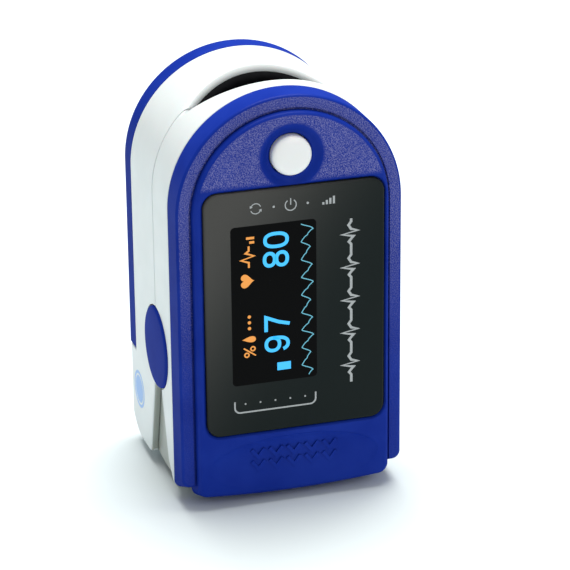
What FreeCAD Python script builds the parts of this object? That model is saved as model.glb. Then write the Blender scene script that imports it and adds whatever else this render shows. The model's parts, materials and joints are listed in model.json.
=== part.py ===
import FreeCAD, Part
import math
import os
import Sketcher

# Fingertip pulse oximeter, a two-part clip that closes on a fingertip.
# Millimetres. X is the width, +Y points from the display to the back, +Z points
# from the tail to the finger end. The origin is the middle of the footprint, at
# the lowest point. The front half turns about a pin that lies along X.

SIZES = {
    # outline of the case, seen from the display
    "case_width": 32.0,
    "arch_height": 43.0,        # height of the centre of the round finger end
    "case_foot": 1.7,           # lowest point of the front case, above the tongue
    "foot_corner": 1.2,
    "band_rise": 1.9,           # how far the slanted foot climbs towards the front
    "tongue_rise": 1.6,
    "wall": 1.6,
    # stations along the depth, from the middle of the case
    "button_top": -14.95,
    "lens_front": -14.65,
    "panel_front": -14.45,
    "band_front": -13.45,
    "cover_inside": -12.15,
    "cover_back": -8.95,
    "deck_front": -7.6,
    "deck_back": -6.4,
    "parting": -0.95,
    "parting_gap": 0.15,
    "bay_floor": 3.0,
    "door_front": 10.9,
    "door_inside": 13.9,
    "back_face": 14.95,
    # front cover
    "panel_half": 13.9,
    "panel_groove": 0.35,
    "tongue_back": -10.05,
    "tongue_corner": 1.5,
    "tongue_sag": 0.5,
    "cover_bevel": 0.45,
    "panel_round": 0.5,
    # display window
    "lens_middle": 0.3,
    "lens_height": 28.75,
    "lens_wide": 25.6,
    "lens_tall": 35.4,
    "lens_corner": 2.0,
    "lens_thick": 0.8,
    "lens_bevel": 0.4,
    "lens_gap": 0.15,
    "tape_thick": 0.15,
    "window_middle": -2.8,
    "window_height": 30.0,
    "window_wide": 13.2,
    "window_tall": 24.2,
    # power button
    "button_height": 50.8,
    "button_radius": 2.82,
    "button_gap": 0.15,
    "button_flange": 3.6,
    "dish_radius": 4.1,
    "dish_depth": 0.7,
    # hinge
    "pivot_depth": -1.15,
    "pivot_height": 20.0,
    "pin_radius": 1.0,
    "cap_radius": 5.9,
    "cap_proud": 0.45,
    "cap_inside": 15.25,
    "hub_radius": 6.1,
    "skirt_inside": 14.0,
    "skirt_outside": 15.0,
    "skirt_radius": 18.4,
    "ear_inside": 12.2,
    "ear_outside": 13.6,
    "ear_radius": 4.2,
    "front_tail_angle": 17.6,
    "rear_tail_angle": 14.6,
    "tail_foot": 1.5,
    "tail_round": 6.0,
    # finger channel
    "channel_radius": 17.5,
    "channel_front": -5.85,
    "channel_back": 2.25,
    "channel_end": 26.0,
    "hinge_bay_top": 24.5,
    "pad_thick": 1.2,
    "pad_half": 9.6,
    "pad_low": 27.0,
    "pad_inset": 1.2,
    "sensor_height": 37.0,
    # batteries
    "cell_radius": 5.25,
    "cell_length": 44.5,
    "cell_spacing": 11.0,
    "cell_depth": 8.4,
    "nub_radius": 1.9,
    "nub_length": 0.8,
    "bay_half": 11.2,
    "bay_low": 4.0,
    "bay_top": 52.05,
    "door_low": 15.0,
    "spring_place": 6.0,
    "spring_radius": 1.7,
    "spring_wire": 0.3,
    "spring_pitch": 0.75,
    "spring_turns": 5,
    "leg_groove": 0.35,
    "door_round": 1.0,
    "hook_front": 9.15,         # front face of the door's hooks
    "hook_thick": 0.8,
    "hook_gap": 0.2,
    "hook_long": 4.0,
    # boards and screws
    "board_half": 11.0,
    "board_front": -10.4,
    "board_thick": 1.0,
    "screw_offset": 12.6,
    "screw_low": 8.0,
    "screw_high": 40.0,
    "boss_radius": 1.45,
    "boss_bore": 0.72,
    "screw_hole": 0.95,
    "screw_seat": 1.35,
    "seat_deep": 0.6,
    # eye for a wrist cord
    "cord_eye_depth": 12.0,
    "cord_eye_height": 5.2,
    "cord_eye_radius": 1.0,
}

doc = FreeCAD.newDocument("pulse_oximeter")
sheet = doc.addObject("Spreadsheet::Sheet", "Sizes")
for row, (alias, number) in enumerate(SIZES.items(), 1):
    sheet.set(f"A{row}", alias)
    sheet.set(f"B{row}", str(number))
    sheet.setAlias(f"B{row}", alias)
doc.recompute()


class Size:
    """A length or angle: its number, and the same thing as a formula of sheet cells."""

    def __init__(self, value, formula):
        self.value = value
        self.formula = formula

    def __add__(self, other):
        return Size(self.value + as_size(other).value, f"({self.formula} + {as_size(other).formula})")

    def __sub__(self, other):
        return Size(self.value - as_size(other).value, f"({self.formula} - {as_size(other).formula})")

    def __mul__(self, factor):
        return Size(self.value * factor, f"({self.formula} * {factor})")

    def __truediv__(self, divisor):
        return Size(self.value / divisor, f"({self.formula} / {divisor})")

    def __neg__(self):
        return Size(-self.value, f"(0 - {self.formula})")


def as_size(thing):
    if isinstance(thing, Size):
        return thing
    return Size(float(thing), str(float(thing)))


def cell(name):
    return Size(SIZES[name], f"Sizes.{name}")


HALF = cell("case_width") / 2
PIVOT_Y = cell("pivot_depth")
PIVOT_Z = cell("pivot_height")
SIDES = {"left": -1, "right": 1}
PARTS = []


def keep(thing, label):
    """Makes an object of the document one of the pieces that are written out."""
    thing.Label = label
    PARTS.append(thing)
    return thing


def bind(thing, **sizes):
    """Ties properties of an object to formulas; a double underscore stands for a dot."""
    for name, size in sizes.items():
        thing.setExpression(name.replace("__", "."), as_size(size).formula)


def move(thing, x=0, y=0, z=0):
    bind(thing, Placement__Base__x=x, Placement__Base__y=y, Placement__Base__z=z)


# ---------------------------------------------------------------- sketches

def new_body(name):
    return doc.addObject("PartDesign::Body", name)


def sketch_on(body, name, role, offset):
    """A sketch on one of the body's origin planes, moved along the plane's normal."""
    sketch = body.newObject("Sketcher::SketchObject", name)
    plane = next(item for item in body.Origin.OriginFeatures if item.Role == role)
    sketch.AttachmentSupport = [(plane, "")]
    sketch.MapMode = "FlatFace"
    sketch.setExpression("AttachmentOffset.Base.z", as_size(offset).formula)
    return sketch


def constrain(sketch, kind, *where, size=None):
    if size is None:
        sketch.addConstraint(Sketcher.Constraint(kind, *where))
        return
    size = as_size(size)
    index = sketch.addConstraint(Sketcher.Constraint(kind, *where, size.value))
    sketch.setExpression(f"Constraints[{index}]", size.formula)


def pin_point(sketch, index, point, x, y):
    """Fixes a point of a curve at x, y from the sketch's origin."""
    constrain(sketch, "DistanceX", -1, 1, index, point, size=x)
    constrain(sketch, "DistanceY", -1, 1, index, point, size=y)


def draw_circle(sketch, x, y, radius):
    x, y, radius = as_size(x), as_size(y), as_size(radius)
    middle = FreeCAD.Vector(x.value, y.value, 0)
    index = sketch.addGeometry(Part.Circle(middle, FreeCAD.Vector(0, 0, 1), radius.value))
    constrain(sketch, "Radius", index, size=radius)
    pin_point(sketch, index, 3, x, y)


def draw_outline(sketch, corners):
    """A closed outline. Each corner is x, y and, where an arc leaves it, the arc's radius.

    The arc bulges to the right of the way to the next corner, or left if the radius is negative.
    """
    corners = [[as_size(value) for value in corner] for corner in corners]
    ends = corners[1:] + corners[:1]
    for here, there in zip(corners, ends):
        start = FreeCAD.Vector(here[0].value, here[1].value, 0)
        end = FreeCAD.Vector(there[0].value, there[1].value, 0)
        if len(here) == 2:
            index = sketch.addGeometry(Part.LineSegment(start, end))
            first, last = 1, 2
        else:
            index, first, last = add_arc(sketch, start, end, here[2].value)
            fix_radius(sketch, index, here, there)
        pin_point(sketch, index, first, here[0], here[1])
        pin_point(sketch, index, last, there[0], there[1])


def fix_radius(sketch, index, here, there):
    """Sets an arc's radius; a half circle along X is set by the height of its middle instead."""
    radius = here[2] if here[2].value > 0 else -here[2]
    if abs(abs(there[0].value - here[0].value) - 2 * radius.value) < 1e-6:
        constrain(sketch, "DistanceY", -1, 1, index, 3, size=here[1])
    else:
        constrain(sketch, "Radius", index, size=radius)


def add_arc(sketch, start, end, radius):
    chord = end - start
    across = FreeCAD.Vector(chord.y, -chord.x, 0)
    across.normalize()
    side = 1 if radius > 0 else -1
    drop = math.sqrt(max(radius ** 2 - (chord.Length / 2) ** 2, 0))
    bulge = abs(radius) - drop
    crown = (start + end) / 2 + across * (side * bulge)
    index = sketch.addGeometry(Part.Arc(start, crown, end))
    first = 1 if side > 0 else 2
    return index, first, 3 - first


def draw_arch(sketch, half, low):
    """The case's outline: a half circle on two straight sides and a flat foot."""
    half, low, middle = as_size(half), as_size(low), cell("arch_height")
    draw_outline(sketch, [(half, middle, half), (-half, middle), (-half, low), (half, low)])


def draw_round_box(sketch, x, y, wide, tall, corner):
    """A rectangle with round corners, about its middle."""
    x, y, corner = as_size(x), as_size(y), as_size(corner)
    left, right = x - as_size(wide) / 2, x + as_size(wide) / 2
    low, high = y - as_size(tall) / 2, y + as_size(tall) / 2
    draw_outline(sketch, [
        (left + corner, low), (right - corner, low, corner), (right, low + corner),
        (right, high - corner, corner), (right - corner, high), (left + corner, high, corner),
        (left, high - corner), (left, low + corner, corner)])


def draw_box(sketch, left, low, right, high):
    draw_outline(sketch, [(left, low), (right, low), (right, high), (left, high)])


# ---------------------------------------------------------------- features

def pad(body, sketch, length, reverse=False):
    feature = body.newObject("PartDesign::Pad", "Pad")
    feature.Profile = sketch
    feature.Reversed = reverse
    bind(feature, Length=length)
    return feature


def pocket(body, sketch, length, reverse=False):
    """Cuts the sketch's outline out of the body, and checks that it took something away."""
    before = current_volume(body)
    feature = body.newObject("PartDesign::Pocket", "Pocket")
    feature.Profile = sketch
    feature.Reversed = reverse
    bind(feature, Length=length)
    doc.recompute()
    if current_volume(body) >= before:
        raise ValueError(f"{body.Label}: {sketch.Label} cuts nothing")
    return feature


def current_volume(body):
    doc.recompute()
    return body.Shape.Volume


def face_pad(body, name, front, back, draw, *args):
    """A pad of an outline seen from the display, between two depth stations."""
    sketch = sketch_on(body, name, "XZ_Plane", -as_size(back))
    draw(sketch, *args)
    return pad(body, sketch, as_size(back) - as_size(front))


def face_cut(body, name, front, back, draw, *args):
    """A pocket of an outline seen from the display, between two depth stations."""
    sketch = sketch_on(body, name, "XZ_Plane", -as_size(front))
    draw(sketch, *args)
    return pocket(body, sketch, as_size(back) - as_size(front))


def side_pad(body, name, inside, outside, draw, *args):
    """A pad of an outline seen from the side, between two stations along X."""
    sketch = sketch_on(body, name, "YZ_Plane", inside)
    draw(sketch, *args)
    return pad(body, sketch, as_size(outside) - as_size(inside))


def side_cut(body, name, inside, outside, draw, *args):
    """A pocket of an outline seen from the side, between two stations along X."""
    sketch = sketch_on(body, name, "YZ_Plane", outside)
    draw(sketch, *args)
    return pocket(body, sketch, as_size(outside) - as_size(inside))


def both_sides(work, body, name, inside, outside, draw, *args):
    """Repeats a side pad or side cut at the same distance left and right of the middle."""
    inside, outside = as_size(inside), as_size(outside)
    work(body, name + "_right", inside, outside, draw, *args)
    work(body, name + "_left", -outside, -inside, draw, *args)


def dress(body, kind, size, wanted):
    """A fillet or chamfer on those edges of the body that the function wanted picks."""
    doc.recompute()
    base = body.Tip
    names = [f"Edge{n}" for n, edge in enumerate(base.Shape.Edges, 1) if wanted(edge)]
    feature = body.newObject("PartDesign::" + kind, kind)
    feature.Base = (base, names)
    prop = "Radius" if kind == "Fillet" else "Size"
    bind(feature, **{prop: size})
    return feature


def edge_at_depth(depth):
    """Picks edges that lie flat at a depth station."""
    def wanted(edge):
        box = edge.BoundBox
        return abs(box.YMin - depth.value) < 1e-4 and abs(box.YMax - depth.value) < 1e-4
    return wanted


# ---------------------------------------------------------------- plain solids

def block(name, low, high):
    """A box between two corners, each given as x, y, z."""
    low = [as_size(value) for value in low]
    high = [as_size(value) for value in high]
    thing = doc.addObject("Part::Box", name)
    bind(thing, Length=high[0] - low[0], Width=high[1] - low[1], Height=high[2] - low[2])
    move(thing, *low)
    return thing


TURNS = {
    "x": FreeCAD.Rotation(FreeCAD.Vector(0, 1, 0), 90),
    "y": FreeCAD.Rotation(FreeCAD.Vector(1, 0, 0), -90),
    "z": FreeCAD.Rotation(),
}


def rod(name, axis, start, radius, length):
    """A cylinder that starts at a point x, y, z and runs along +X, +Y or +Z."""
    thing = doc.addObject("Part::Cylinder", name)
    bind(thing, Radius=radius, Height=length)
    thing.Placement = FreeCAD.Placement(FreeCAD.Vector(), TURNS[axis])
    move(thing, *start)
    return thing


def join(name, things):
    thing = doc.addObject("Part::MultiFuse", name)
    thing.Shapes = things
    return thing


def carve(name, base, tool):
    thing = doc.addObject("Part::Cut", name)
    thing.Base = base
    thing.Tool = tool
    return thing


def group(name, things):
    """Several alike solids that share one piece name."""
    thing = doc.addObject("Part::Compound", name)
    thing.Links = things
    return thing


def rounded(name, base, radius, wanted):
    """A Part fillet on the edges that the function wanted picks."""
    doc.recompute()
    thing = doc.addObject("Part::Fillet", name)
    thing.Base = base
    picked = [n for n, edge in enumerate(base.Shape.Edges, 1) if wanted(edge)]
    thing.Edges = [(n, radius, radius) for n in picked]
    return thing


def wound(name, radius, wire, pitch, turns, grow=0.0):
    """A coil of round wire that starts at the origin's plane and climbs along Z."""
    helix = doc.addObject("Part::Helix", name + "_line")
    helix.Radius = radius
    helix.Pitch = pitch
    helix.Height = pitch * turns
    helix.Angle = grow
    ring = doc.addObject("Part::Circle", name + "_wire")
    ring.Radius = wire
    ring.Placement = FreeCAD.Placement(FreeCAD.Vector(radius, 0, 0), TURNS["y"])
    thing = doc.addObject("Part::Sweep", name)
    thing.Sections = [ring]
    thing.Spine = (helix, [])
    thing.Solid = True
    thing.Frenet = True
    return thing


# ---------------------------------------------------------------- shared outlines

def draw_channel(sketch):
    """The finger channel's section, seen from the finger end: two arcs that meet in corners."""
    radius = SIZES["channel_radius"]
    front, back = SIZES["channel_front"], SIZES["channel_back"]
    middle = (cell("channel_front") + cell("channel_back")) / 2
    half = math.sqrt(radius ** 2 - (radius - (back - front) / 2) ** 2)
    draw_outline(sketch, [(-half, middle, cell("channel_radius")), (half, middle, cell("channel_radius"))])


def cut_channel(body):
    sketch = sketch_on(body, "finger_channel", "XY_Plane", cell("channel_end"))
    draw_channel(sketch)
    pocket(body, sketch, cell("case_width") + 3, reverse=True)


def polar(radius, degrees):
    """A point below the pivot, turned towards the back by an angle."""
    radius = as_size(radius)
    turn = math.radians(degrees)
    return PIVOT_Y + radius * math.sin(turn), PIVOT_Z - radius * math.cos(turn)


def draw_fan(sketch, radius, front_angle, back_angle):
    """A sector about the pivot, from one angle to another below it."""
    start = polar(radius, front_angle)
    end = polar(radius, back_angle)
    draw_outline(sketch, [(PIVOT_Y, PIVOT_Z), (*start, radius), end])


def draw_at_pivot(sketch, radius):
    draw_circle(sketch, PIVOT_Y, PIVOT_Z, radius)


def screw_places():
    for side in SIDES.values():
        for height in ("screw_low", "screw_high"):
            yield cell("screw_offset") * side, cell(height)


# ---------------------------------------------------------------- front half

def make_front_cover():
    """Blue bezel: band, raised panel that runs on into the push tongue, and its bosses."""
    body = new_body("front_cover_body")
    face_pad(body, "band", cell("band_front"), cell("cover_back"), draw_arch, HALF, cell("case_foot"))
    dress(body, "Fillet", cell("foot_corner"), is_foot_corner)
    dress(body, "Chamfer", cell("cover_bevel"), edge_at_depth(cell("band_front")))
    groove_half = cell("panel_half") + cell("panel_groove")
    face_cut(body, "panel_foot_groove", cell("band_front"), cell("band_front") + cell("panel_groove"),
             draw_arch, groove_half, 0)
    face_pad(body, "panel", cell("panel_front"), cell("tongue_back"), draw_tongue)
    dress(body, "Fillet", cell("panel_round"), edge_at_depth(cell("panel_front")))
    face_cut(body, "hollow", cell("cover_inside"), cell("cover_back"),
             draw_arch, HALF - cell("wall"), cell("case_foot") + cell("wall"))
    tape_back = cell("lens_front") + cell("lens_thick") + cell("tape_thick")
    face_cut(body, "lens_seat", cell("panel_front"), tape_back, draw_round_box,
             cell("lens_middle"), cell("lens_height"), cell("lens_wide") + cell("lens_gap") * 2,
             cell("lens_tall") + cell("lens_gap") * 2, cell("lens_corner") + cell("lens_gap"))
    face_cut(body, "window", tape_back, cell("cover_inside"), draw_round_box,
             cell("window_middle"), cell("window_height"), cell("window_wide"), cell("window_tall"), 1)
    face_cut(body, "button_dish", cell("panel_front"), cell("panel_front") + cell("dish_depth"),
             draw_circle, 0, cell("button_height"), cell("dish_radius"))
    face_cut(body, "button_hole", cell("panel_front"), cell("cover_inside"),
             draw_circle, 0, cell("button_height"), cell("button_radius") + cell("button_gap"))
    for x, z in screw_places():
        face_pad(body, "boss", cell("cover_inside"), cell("cover_back"), draw_circle, x, z,
                 cell("boss_radius"))
        face_cut(body, "boss_hole", cell("cover_inside") + 0.5, cell("cover_back"), draw_circle, x, z,
                 cell("boss_bore"))
    both_sides(side_cut, body, "band_foot", cell("panel_half"), HALF, draw_slant,
               cell("cover_back"), cell("case_foot"), cell("band_front"), cell("band_rise"))
    both_sides(side_cut, body, "tongue_foot", 0, cell("panel_half"), draw_slant,
               cell("tongue_back"), as_size(0), cell("panel_front"), cell("tongue_rise"))
    keep(body, "front_cover")


def draw_slant(sketch, back, low, front, rise):
    """What lies below a foot that climbs from its back edge to its front edge."""
    beyond, below = front - 1, low - 1
    climb = rise * ((back - beyond).value / (back - front).value)
    draw_outline(sketch, [(back, low), (beyond, low + climb), (beyond, below), (back, below)])


def is_foot_corner(edge):
    """Picks the two lower corners of the band, which run along the depth."""
    box = edge.BoundBox
    low = box.ZMax < SIZES["case_foot"] + 0.01
    wide = abs(box.XMin) > HALF.value - 0.01
    return low and wide and box.YLength > 1


def draw_tongue(sketch):
    """The raised panel: an arch whose sides run down to a tongue with a slightly round foot."""
    half, corner, sag = cell("panel_half"), cell("tongue_corner"), cell("tongue_sag")
    chord = half - corner
    bow = (chord.value ** 2 + sag.value ** 2) / (2 * sag.value)
    draw_outline(sketch, [
        (half, cell("arch_height"), half), (-half, cell("arch_height")),
        (-half, sag + corner, corner), (-chord, sag, bow), (chord, sag, corner), (half, sag + corner)])


def make_display_lens():
    body = new_body("display_lens_body")
    face_pad(body, "plate", cell("lens_front"), cell("lens_front") + cell("lens_thick"), draw_round_box,
             cell("lens_middle"), cell("lens_height"), cell("lens_wide"), cell("lens_tall"),
             cell("lens_corner"))
    dress(body, "Chamfer", cell("lens_bevel"), edge_at_depth(cell("lens_front")))
    keep(body, "display_lens")


def make_lens_tape():
    """Die-cut adhesive frame under the display window."""
    body = new_body("lens_tape_body")
    front = cell("lens_front") + cell("lens_thick")
    face_pad(body, "frame", front, front + cell("tape_thick"), draw_round_box,
             cell("lens_middle"), cell("lens_height"), cell("lens_wide") - 1, cell("lens_tall") - 1, 1.5)
    face_cut(body, "opening", front, front + cell("tape_thick"), draw_round_box,
             cell("window_middle"), cell("window_height"),
             cell("window_wide") + 1, cell("window_tall") + 1, 1)
    keep(body, "lens_tape")


def make_power_button():
    """Domed cap with a flange that holds it in, and a stem that reaches the switch."""
    switch_top = cell("board_front") - 1.35
    flange_front = cell("cover_inside") + 0.05
    cap = rod("button_cap", "y", (0, cell("button_top"), cell("button_height")),
              cell("button_radius"), flange_front - cell("button_top") + 0.1)
    crown = rounded("button_crown", cap, 0.6,
                    lambda edge: abs(edge.BoundBox.YMax - SIZES["button_top"]) < 1e-4)
    flange = rod("button_rim", "y", (0, flange_front, cell("button_height")), cell("button_flange"), 0.3)
    stem = rod("button_stem", "y", (0, flange_front, cell("button_height")), 0.9,
               switch_top - flange_front)
    keep(join("power_button_solid", [crown, flange, stem]), "power_button")


def make_front_shell():
    """White front half: outer wall, deck, finger arch, hinge ears and screw seats."""
    body = new_body("front_shell_body")
    back = cell("parting") - cell("parting_gap") / 2
    face_pad(body, "case", cell("cover_back"), back, draw_arch, HALF, cell("case_foot"))
    dress(body, "Fillet", cell("foot_corner"), is_foot_corner)
    face_cut(body, "board_space", cell("cover_back"), cell("deck_front"),
             draw_arch, HALF - cell("wall"), cell("case_foot") + cell("wall"))
    bay_half = cell("skirt_inside")
    face_cut(body, "hinge_bay", cell("deck_back"), back, draw_box,
             -bay_half, cell("case_foot") + cell("wall"), bay_half, cell("hinge_bay_top"))
    cut_channel(body)
    for x, z in screw_places():
        face_cut(body, "screw_seat", cell("deck_back") - cell("seat_deep"), back, draw_circle, x, z,
                 cell("screw_seat"))
        face_cut(body, "screw_hole", cell("cover_back") - 0.1, back, draw_circle, x, z,
                 cell("screw_hole"))
    face_cut(body, "emitter_seat", cell("deck_front"), cell("channel_front") + 0.6, draw_box,
             -3.6, cell("sensor_height") - 3.1, 3.6, cell("sensor_height") + 3.1)
    face_cut(body, "ribbon_way", cell("deck_front"), cell("deck_back"), draw_box, -1.8, 8.6, 1.8, 10.6)
    for middle in (-cell("spring_place"), cell("spring_place")):
        leg = middle - spring_half()
        face_cut(body, "leg_groove", cell("deck_back") - cell("leg_groove"), cell("deck_back"), draw_box,
                 leg - cell("spring_wire") * 2, PIVOT_Z - 2.3, leg + cell("spring_wire") * 2, PIVOT_Z + 1.4)
    both_sides(side_cut, body, "tail", 0, HALF, draw_front_tail)
    both_sides(side_pad, body, "skirt", cell("skirt_inside"), cell("skirt_outside"),
               draw_fan, cell("skirt_radius"), -22, 18)
    both_sides(side_pad, body, "ear", cell("skirt_inside"), cell("skirt_outside"),
               draw_at_pivot, cell("hub_radius") - 0.2)
    both_sides(side_cut, body, "cap_seat", cell("skirt_outside"), HALF, draw_at_pivot, cell("hub_radius"))
    both_sides(side_cut, body, "pin_hole", cell("skirt_inside"), cell("skirt_outside"),
               draw_at_pivot, cell("pin_radius") + 0.05)
    keep(body, "front_shell")


def spring_half():
    """Half the length of a closing spring's coil, which is where its two legs leave it."""
    return cell("spring_pitch") * (SIZES["spring_turns"] / 2)


def draw_front_tail(sketch):
    """What the front half lacks behind and below its slanted tail edge."""
    slope = math.tan(math.radians(SIZES["front_tail_angle"]))
    drop = PIVOT_Z - 4.7
    heel = PIVOT_Y - drop * slope
    draw_outline(sketch, [
        (PIVOT_Y, PIVOT_Z), (heel, PIVOT_Z - drop), (cell("cover_back"), cell("case_foot")),
        (cell("cover_back"), 0), (2, 0), (2, PIVOT_Z)])


def make_pad(label, apex, outward):
    """Silicone finger pad that lines one side of the channel, with a window in it.

    Apex is the deepest line of the channel's arc; outward is 1 towards the back, -1 to the front.
    """
    body = new_body(label + "_body")
    radius, thick, half = cell("channel_radius"), cell("pad_thick"), cell("pad_half")
    inner, inner_half = radius - thick, half * (1 - SIZES["pad_thick"] / SIZES["channel_radius"])
    outer_y = apex - drop_of(radius, half) * outward
    inner_y = apex - (thick + drop_of(inner, inner_half)) * outward
    section = sketch_on(body, "section", "XY_Plane", cell("pad_low"))
    draw_outline(section, [
        (-half, outer_y, radius * -outward), (half, outer_y),
        (inner_half, inner_y, inner * outward), (-inner_half, inner_y)])
    pad(body, section, cell("case_width"))
    face_cut(body, "trim", -cell("back_face"), cell("back_face"), draw_above_arch, HALF - cell("pad_inset"))
    face_cut(body, "window_hole", -cell("back_face"), cell("back_face"), draw_round_box,
             0, cell("sensor_height"), 6.2, 5.2, 0.8)
    keep(body, label)


def drop_of(radius, half):
    """How far an arc's ends lie below its crown, for half its chord."""
    return as_size(radius.value - math.sqrt(radius.value ** 2 - half.value ** 2))


def draw_above_arch(sketch, radius):
    """Everything above a half circle about the middle of the case's round end."""
    wide, top = HALF + 2, cell("arch_height") + HALF + 3
    draw_outline(sketch, [
        (radius, cell("arch_height"), radius), (-radius, cell("arch_height")),
        (-wide, cell("arch_height")), (-wide, top), (wide, top), (wide, cell("arch_height"))])


def make_window(label, front, back):
    """Clear insert that covers the light source or the sensor."""
    body = new_body(label + "_body")
    face_pad(body, "pane", front, back, draw_round_box, 0, cell("sensor_height"), 6.0, 5.0, 0.7)
    keep(body, label)


# ---------------------------------------------------------------- rear half

HOOK_HEIGHTS = (24.0, 35.0)
HOOK_WAY = 10.6                 # how far a hook's way runs up from the hook's foot


def make_rear_shell():
    """White rear half: outer wall, tail hood, battery bay, finger arch and hinge ears."""
    body = new_body("rear_shell_body")
    front = cell("parting") + cell("parting_gap") / 2
    face_pad(body, "case", front, cell("door_front"), draw_arch, HALF, cell("tail_foot"))
    face_pad(body, "hood", cell("door_front") - 1, cell("back_face"), draw_box,
             -HALF, cell("tail_foot"), HALF, cell("door_low") - 0.2)
    dress(body, "Fillet", 1.5, is_hood_edge)
    both_sides(side_cut, body, "tail", 0, HALF, draw_rear_tail)
    face_cut(body, "battery_bay", cell("bay_floor"), cell("door_inside") - 0.15, draw_box,
             -cell("bay_half"), cell("bay_low") + 1, cell("bay_half"), cell("bay_top"))
    face_cut(body, "bay_foot", cell("bay_floor"), cell("cell_depth") + 3.3, draw_box,
             -cell("bay_half"), cell("bay_low"), cell("bay_half"), cell("bay_low") + 1.5)
    face_cut(body, "hinge_bay", front, cell("bay_floor") - 1.4, draw_box,
             -cell("ear_inside"), cell("bay_low") - 1, cell("ear_inside"), cell("hinge_bay_top"))
    for side in SIDES.values():
        face_cut(body, "side_space", 1, cell("door_front"), draw_round_box, 13.4 * side, 35, 2, 24, 0.5)
    both_sides(side_cut, body, "skirt_slot", cell("ear_outside"), cell("skirt_outside") + 0.2,
               draw_fan, cell("skirt_radius") + 0.25, 4, 52)
    both_sides(side_cut, body, "cap_seat", cell("ear_outside"), HALF, draw_at_pivot, cell("hub_radius"))
    both_sides(side_pad, body, "ear", cell("ear_inside"), cell("ear_outside"), draw_ear)
    both_sides(side_cut, body, "pin_hole", cell("ear_inside"), cell("ear_outside"),
               draw_at_pivot, cell("pin_radius") + 0.01)
    cut_channel(body)
    face_pad(body, "sensor_rib", cell("bay_floor") - 0.6, cell("bay_floor") + 1.1, draw_box,
             -2.3, cell("sensor_height") - 5, 2.3, cell("sensor_height") + 5)
    face_cut(body, "sensor_seat", 0, cell("bay_floor") + 0.9, draw_box,
             -1.95, cell("sensor_height") - 4, 1.95, cell("sensor_height") + 4)
    face_cut(body, "ribbon_way", front, cell("bay_floor"), draw_box,
             -1.6, cell("hinge_bay_top") - 2, 1.6, cell("hinge_bay_top") - 0.4)
    face_cut(body, "ribbon_slot", cell("bay_floor") - 0.4, cell("bay_floor"), draw_box,
             -1.6, cell("hinge_bay_top") - 2, 1.6, cell("sensor_height") - 4)
    ledge_front = cell("hook_front") - cell("hook_gap")
    ledge_back = cell("hook_front") + cell("hook_thick") + cell("hook_gap")
    for left, right in strips(14.3, 15):
        for low in HOOK_HEIGHTS:
            face_cut(body, "hook_ledge", ledge_front, ledge_back, draw_box,
                     left, low - 0.3, right, low + HOOK_WAY)
            face_cut(body, "hook_door", ledge_front, cell("door_front"), draw_box,
                     left, low + 5.7, right, low + HOOK_WAY)
    cut_cord_eye(body)
    keep(body, "rear_shell")


def strips(inside, outside):
    """The left and right edges of a strip along X, on one side of the case and then the other."""
    for side in SIDES.values():
        yield sorted((inside * side, outside * side))


def is_hood_edge(edge):
    """Picks the hood's two upright edges at the back."""
    box = edge.BoundBox
    back = abs(box.YMin - SIZES["back_face"]) < 1e-4
    return back and box.ZLength > 5 and abs(box.XMin) > HALF.value - 0.01


def draw_rear_tail(sketch):
    """What the rear half lacks in front of and below its slanted, rounded tail."""
    slope = math.tan(math.radians(SIZES["rear_tail_angle"]))
    tip = cell("tail_foot") + 0.7
    toe = PIVOT_Y + (PIVOT_Z - tip).value * slope
    heel, turn = cell("back_face") - cell("tail_round"), cell("tail_foot") + cell("tail_round")
    draw_outline(sketch, [
        (PIVOT_Y, PIVOT_Z), (-3, PIVOT_Z), (-3, 0), (17, 0), (17, turn), (cell("back_face"), turn,
         -cell("tail_round")), (heel, cell("tail_foot")), (toe + 1.2, cell("tail_foot")), (toe, tip)])


def draw_ear(sketch):
    """Hinge ear: a round end about the pin, and a web that runs back into the case."""
    radius = cell("ear_radius")
    draw_outline(sketch, [
        (PIVOT_Y, PIVOT_Z - radius), (3, PIVOT_Z - radius), (3, PIVOT_Z + radius),
        (PIVOT_Y, PIVOT_Z + radius, -radius), (PIVOT_Y - radius, PIVOT_Z, -radius)])


def cut_cord_eye(body):
    """Eye for a wrist cord in the right side of the tail, which leads out through the foot."""
    side_cut(body, "eye", 14.0, HALF, draw_circle, cell("cord_eye_depth"), cell("cord_eye_height"),
             cell("cord_eye_radius"))
    face_cut(body, "cord_way", cell("cord_eye_depth") - 1.6, cell("cord_eye_depth") + 1.6, draw_box,
             12.3, 0, 14.3, cell("cord_eye_height") + 1.6)


def make_battery_door():
    """Blue arched cover that slides up off four hooks."""
    body = new_body("battery_door_body")
    front = cell("door_front") + 0.05
    face_pad(body, "cover", front, cell("back_face"), draw_arch, HALF, cell("door_low"))
    dress(body, "Fillet", cell("door_round"), is_door_rim)
    face_cut(body, "hollow", front, cell("door_inside"), draw_arch, HALF - 1.5, cell("door_low") + 1.5)
    face_cut(body, "cell_way", front, cell("door_inside"), draw_box,
             -cell("bay_half") - 0.2, cell("door_low") - 1, cell("bay_half") + 0.2, cell("door_low") + 3)
    face_cut(body, "thumb_notch", front, cell("back_face"), draw_box,
             -3, cell("door_low") - 1, 3, cell("door_low") + 0.8)
    toe_back = cell("hook_front") + cell("hook_thick")
    for low in HOOK_HEIGHTS:
        for left, right in strips(13.2, 14.2):
            face_pad(body, "hook_leg", cell("hook_front"), cell("door_inside") + 0.2, draw_box,
                     left, low, right, cell("hook_long") + low)
        for left, right in strips(14.1, 14.8):
            face_pad(body, "hook_toe", cell("hook_front"), toe_back, draw_box,
                     left, low, right, cell("hook_long") + low)
    keep(body, "battery_door")


def is_door_rim(edge):
    """Picks the arch and the straight sides of the door's back, but not its foot."""
    box = edge.BoundBox
    back = abs(box.YMin - SIZES["back_face"]) < 1e-4
    return back and box.ZLength > 5


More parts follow.
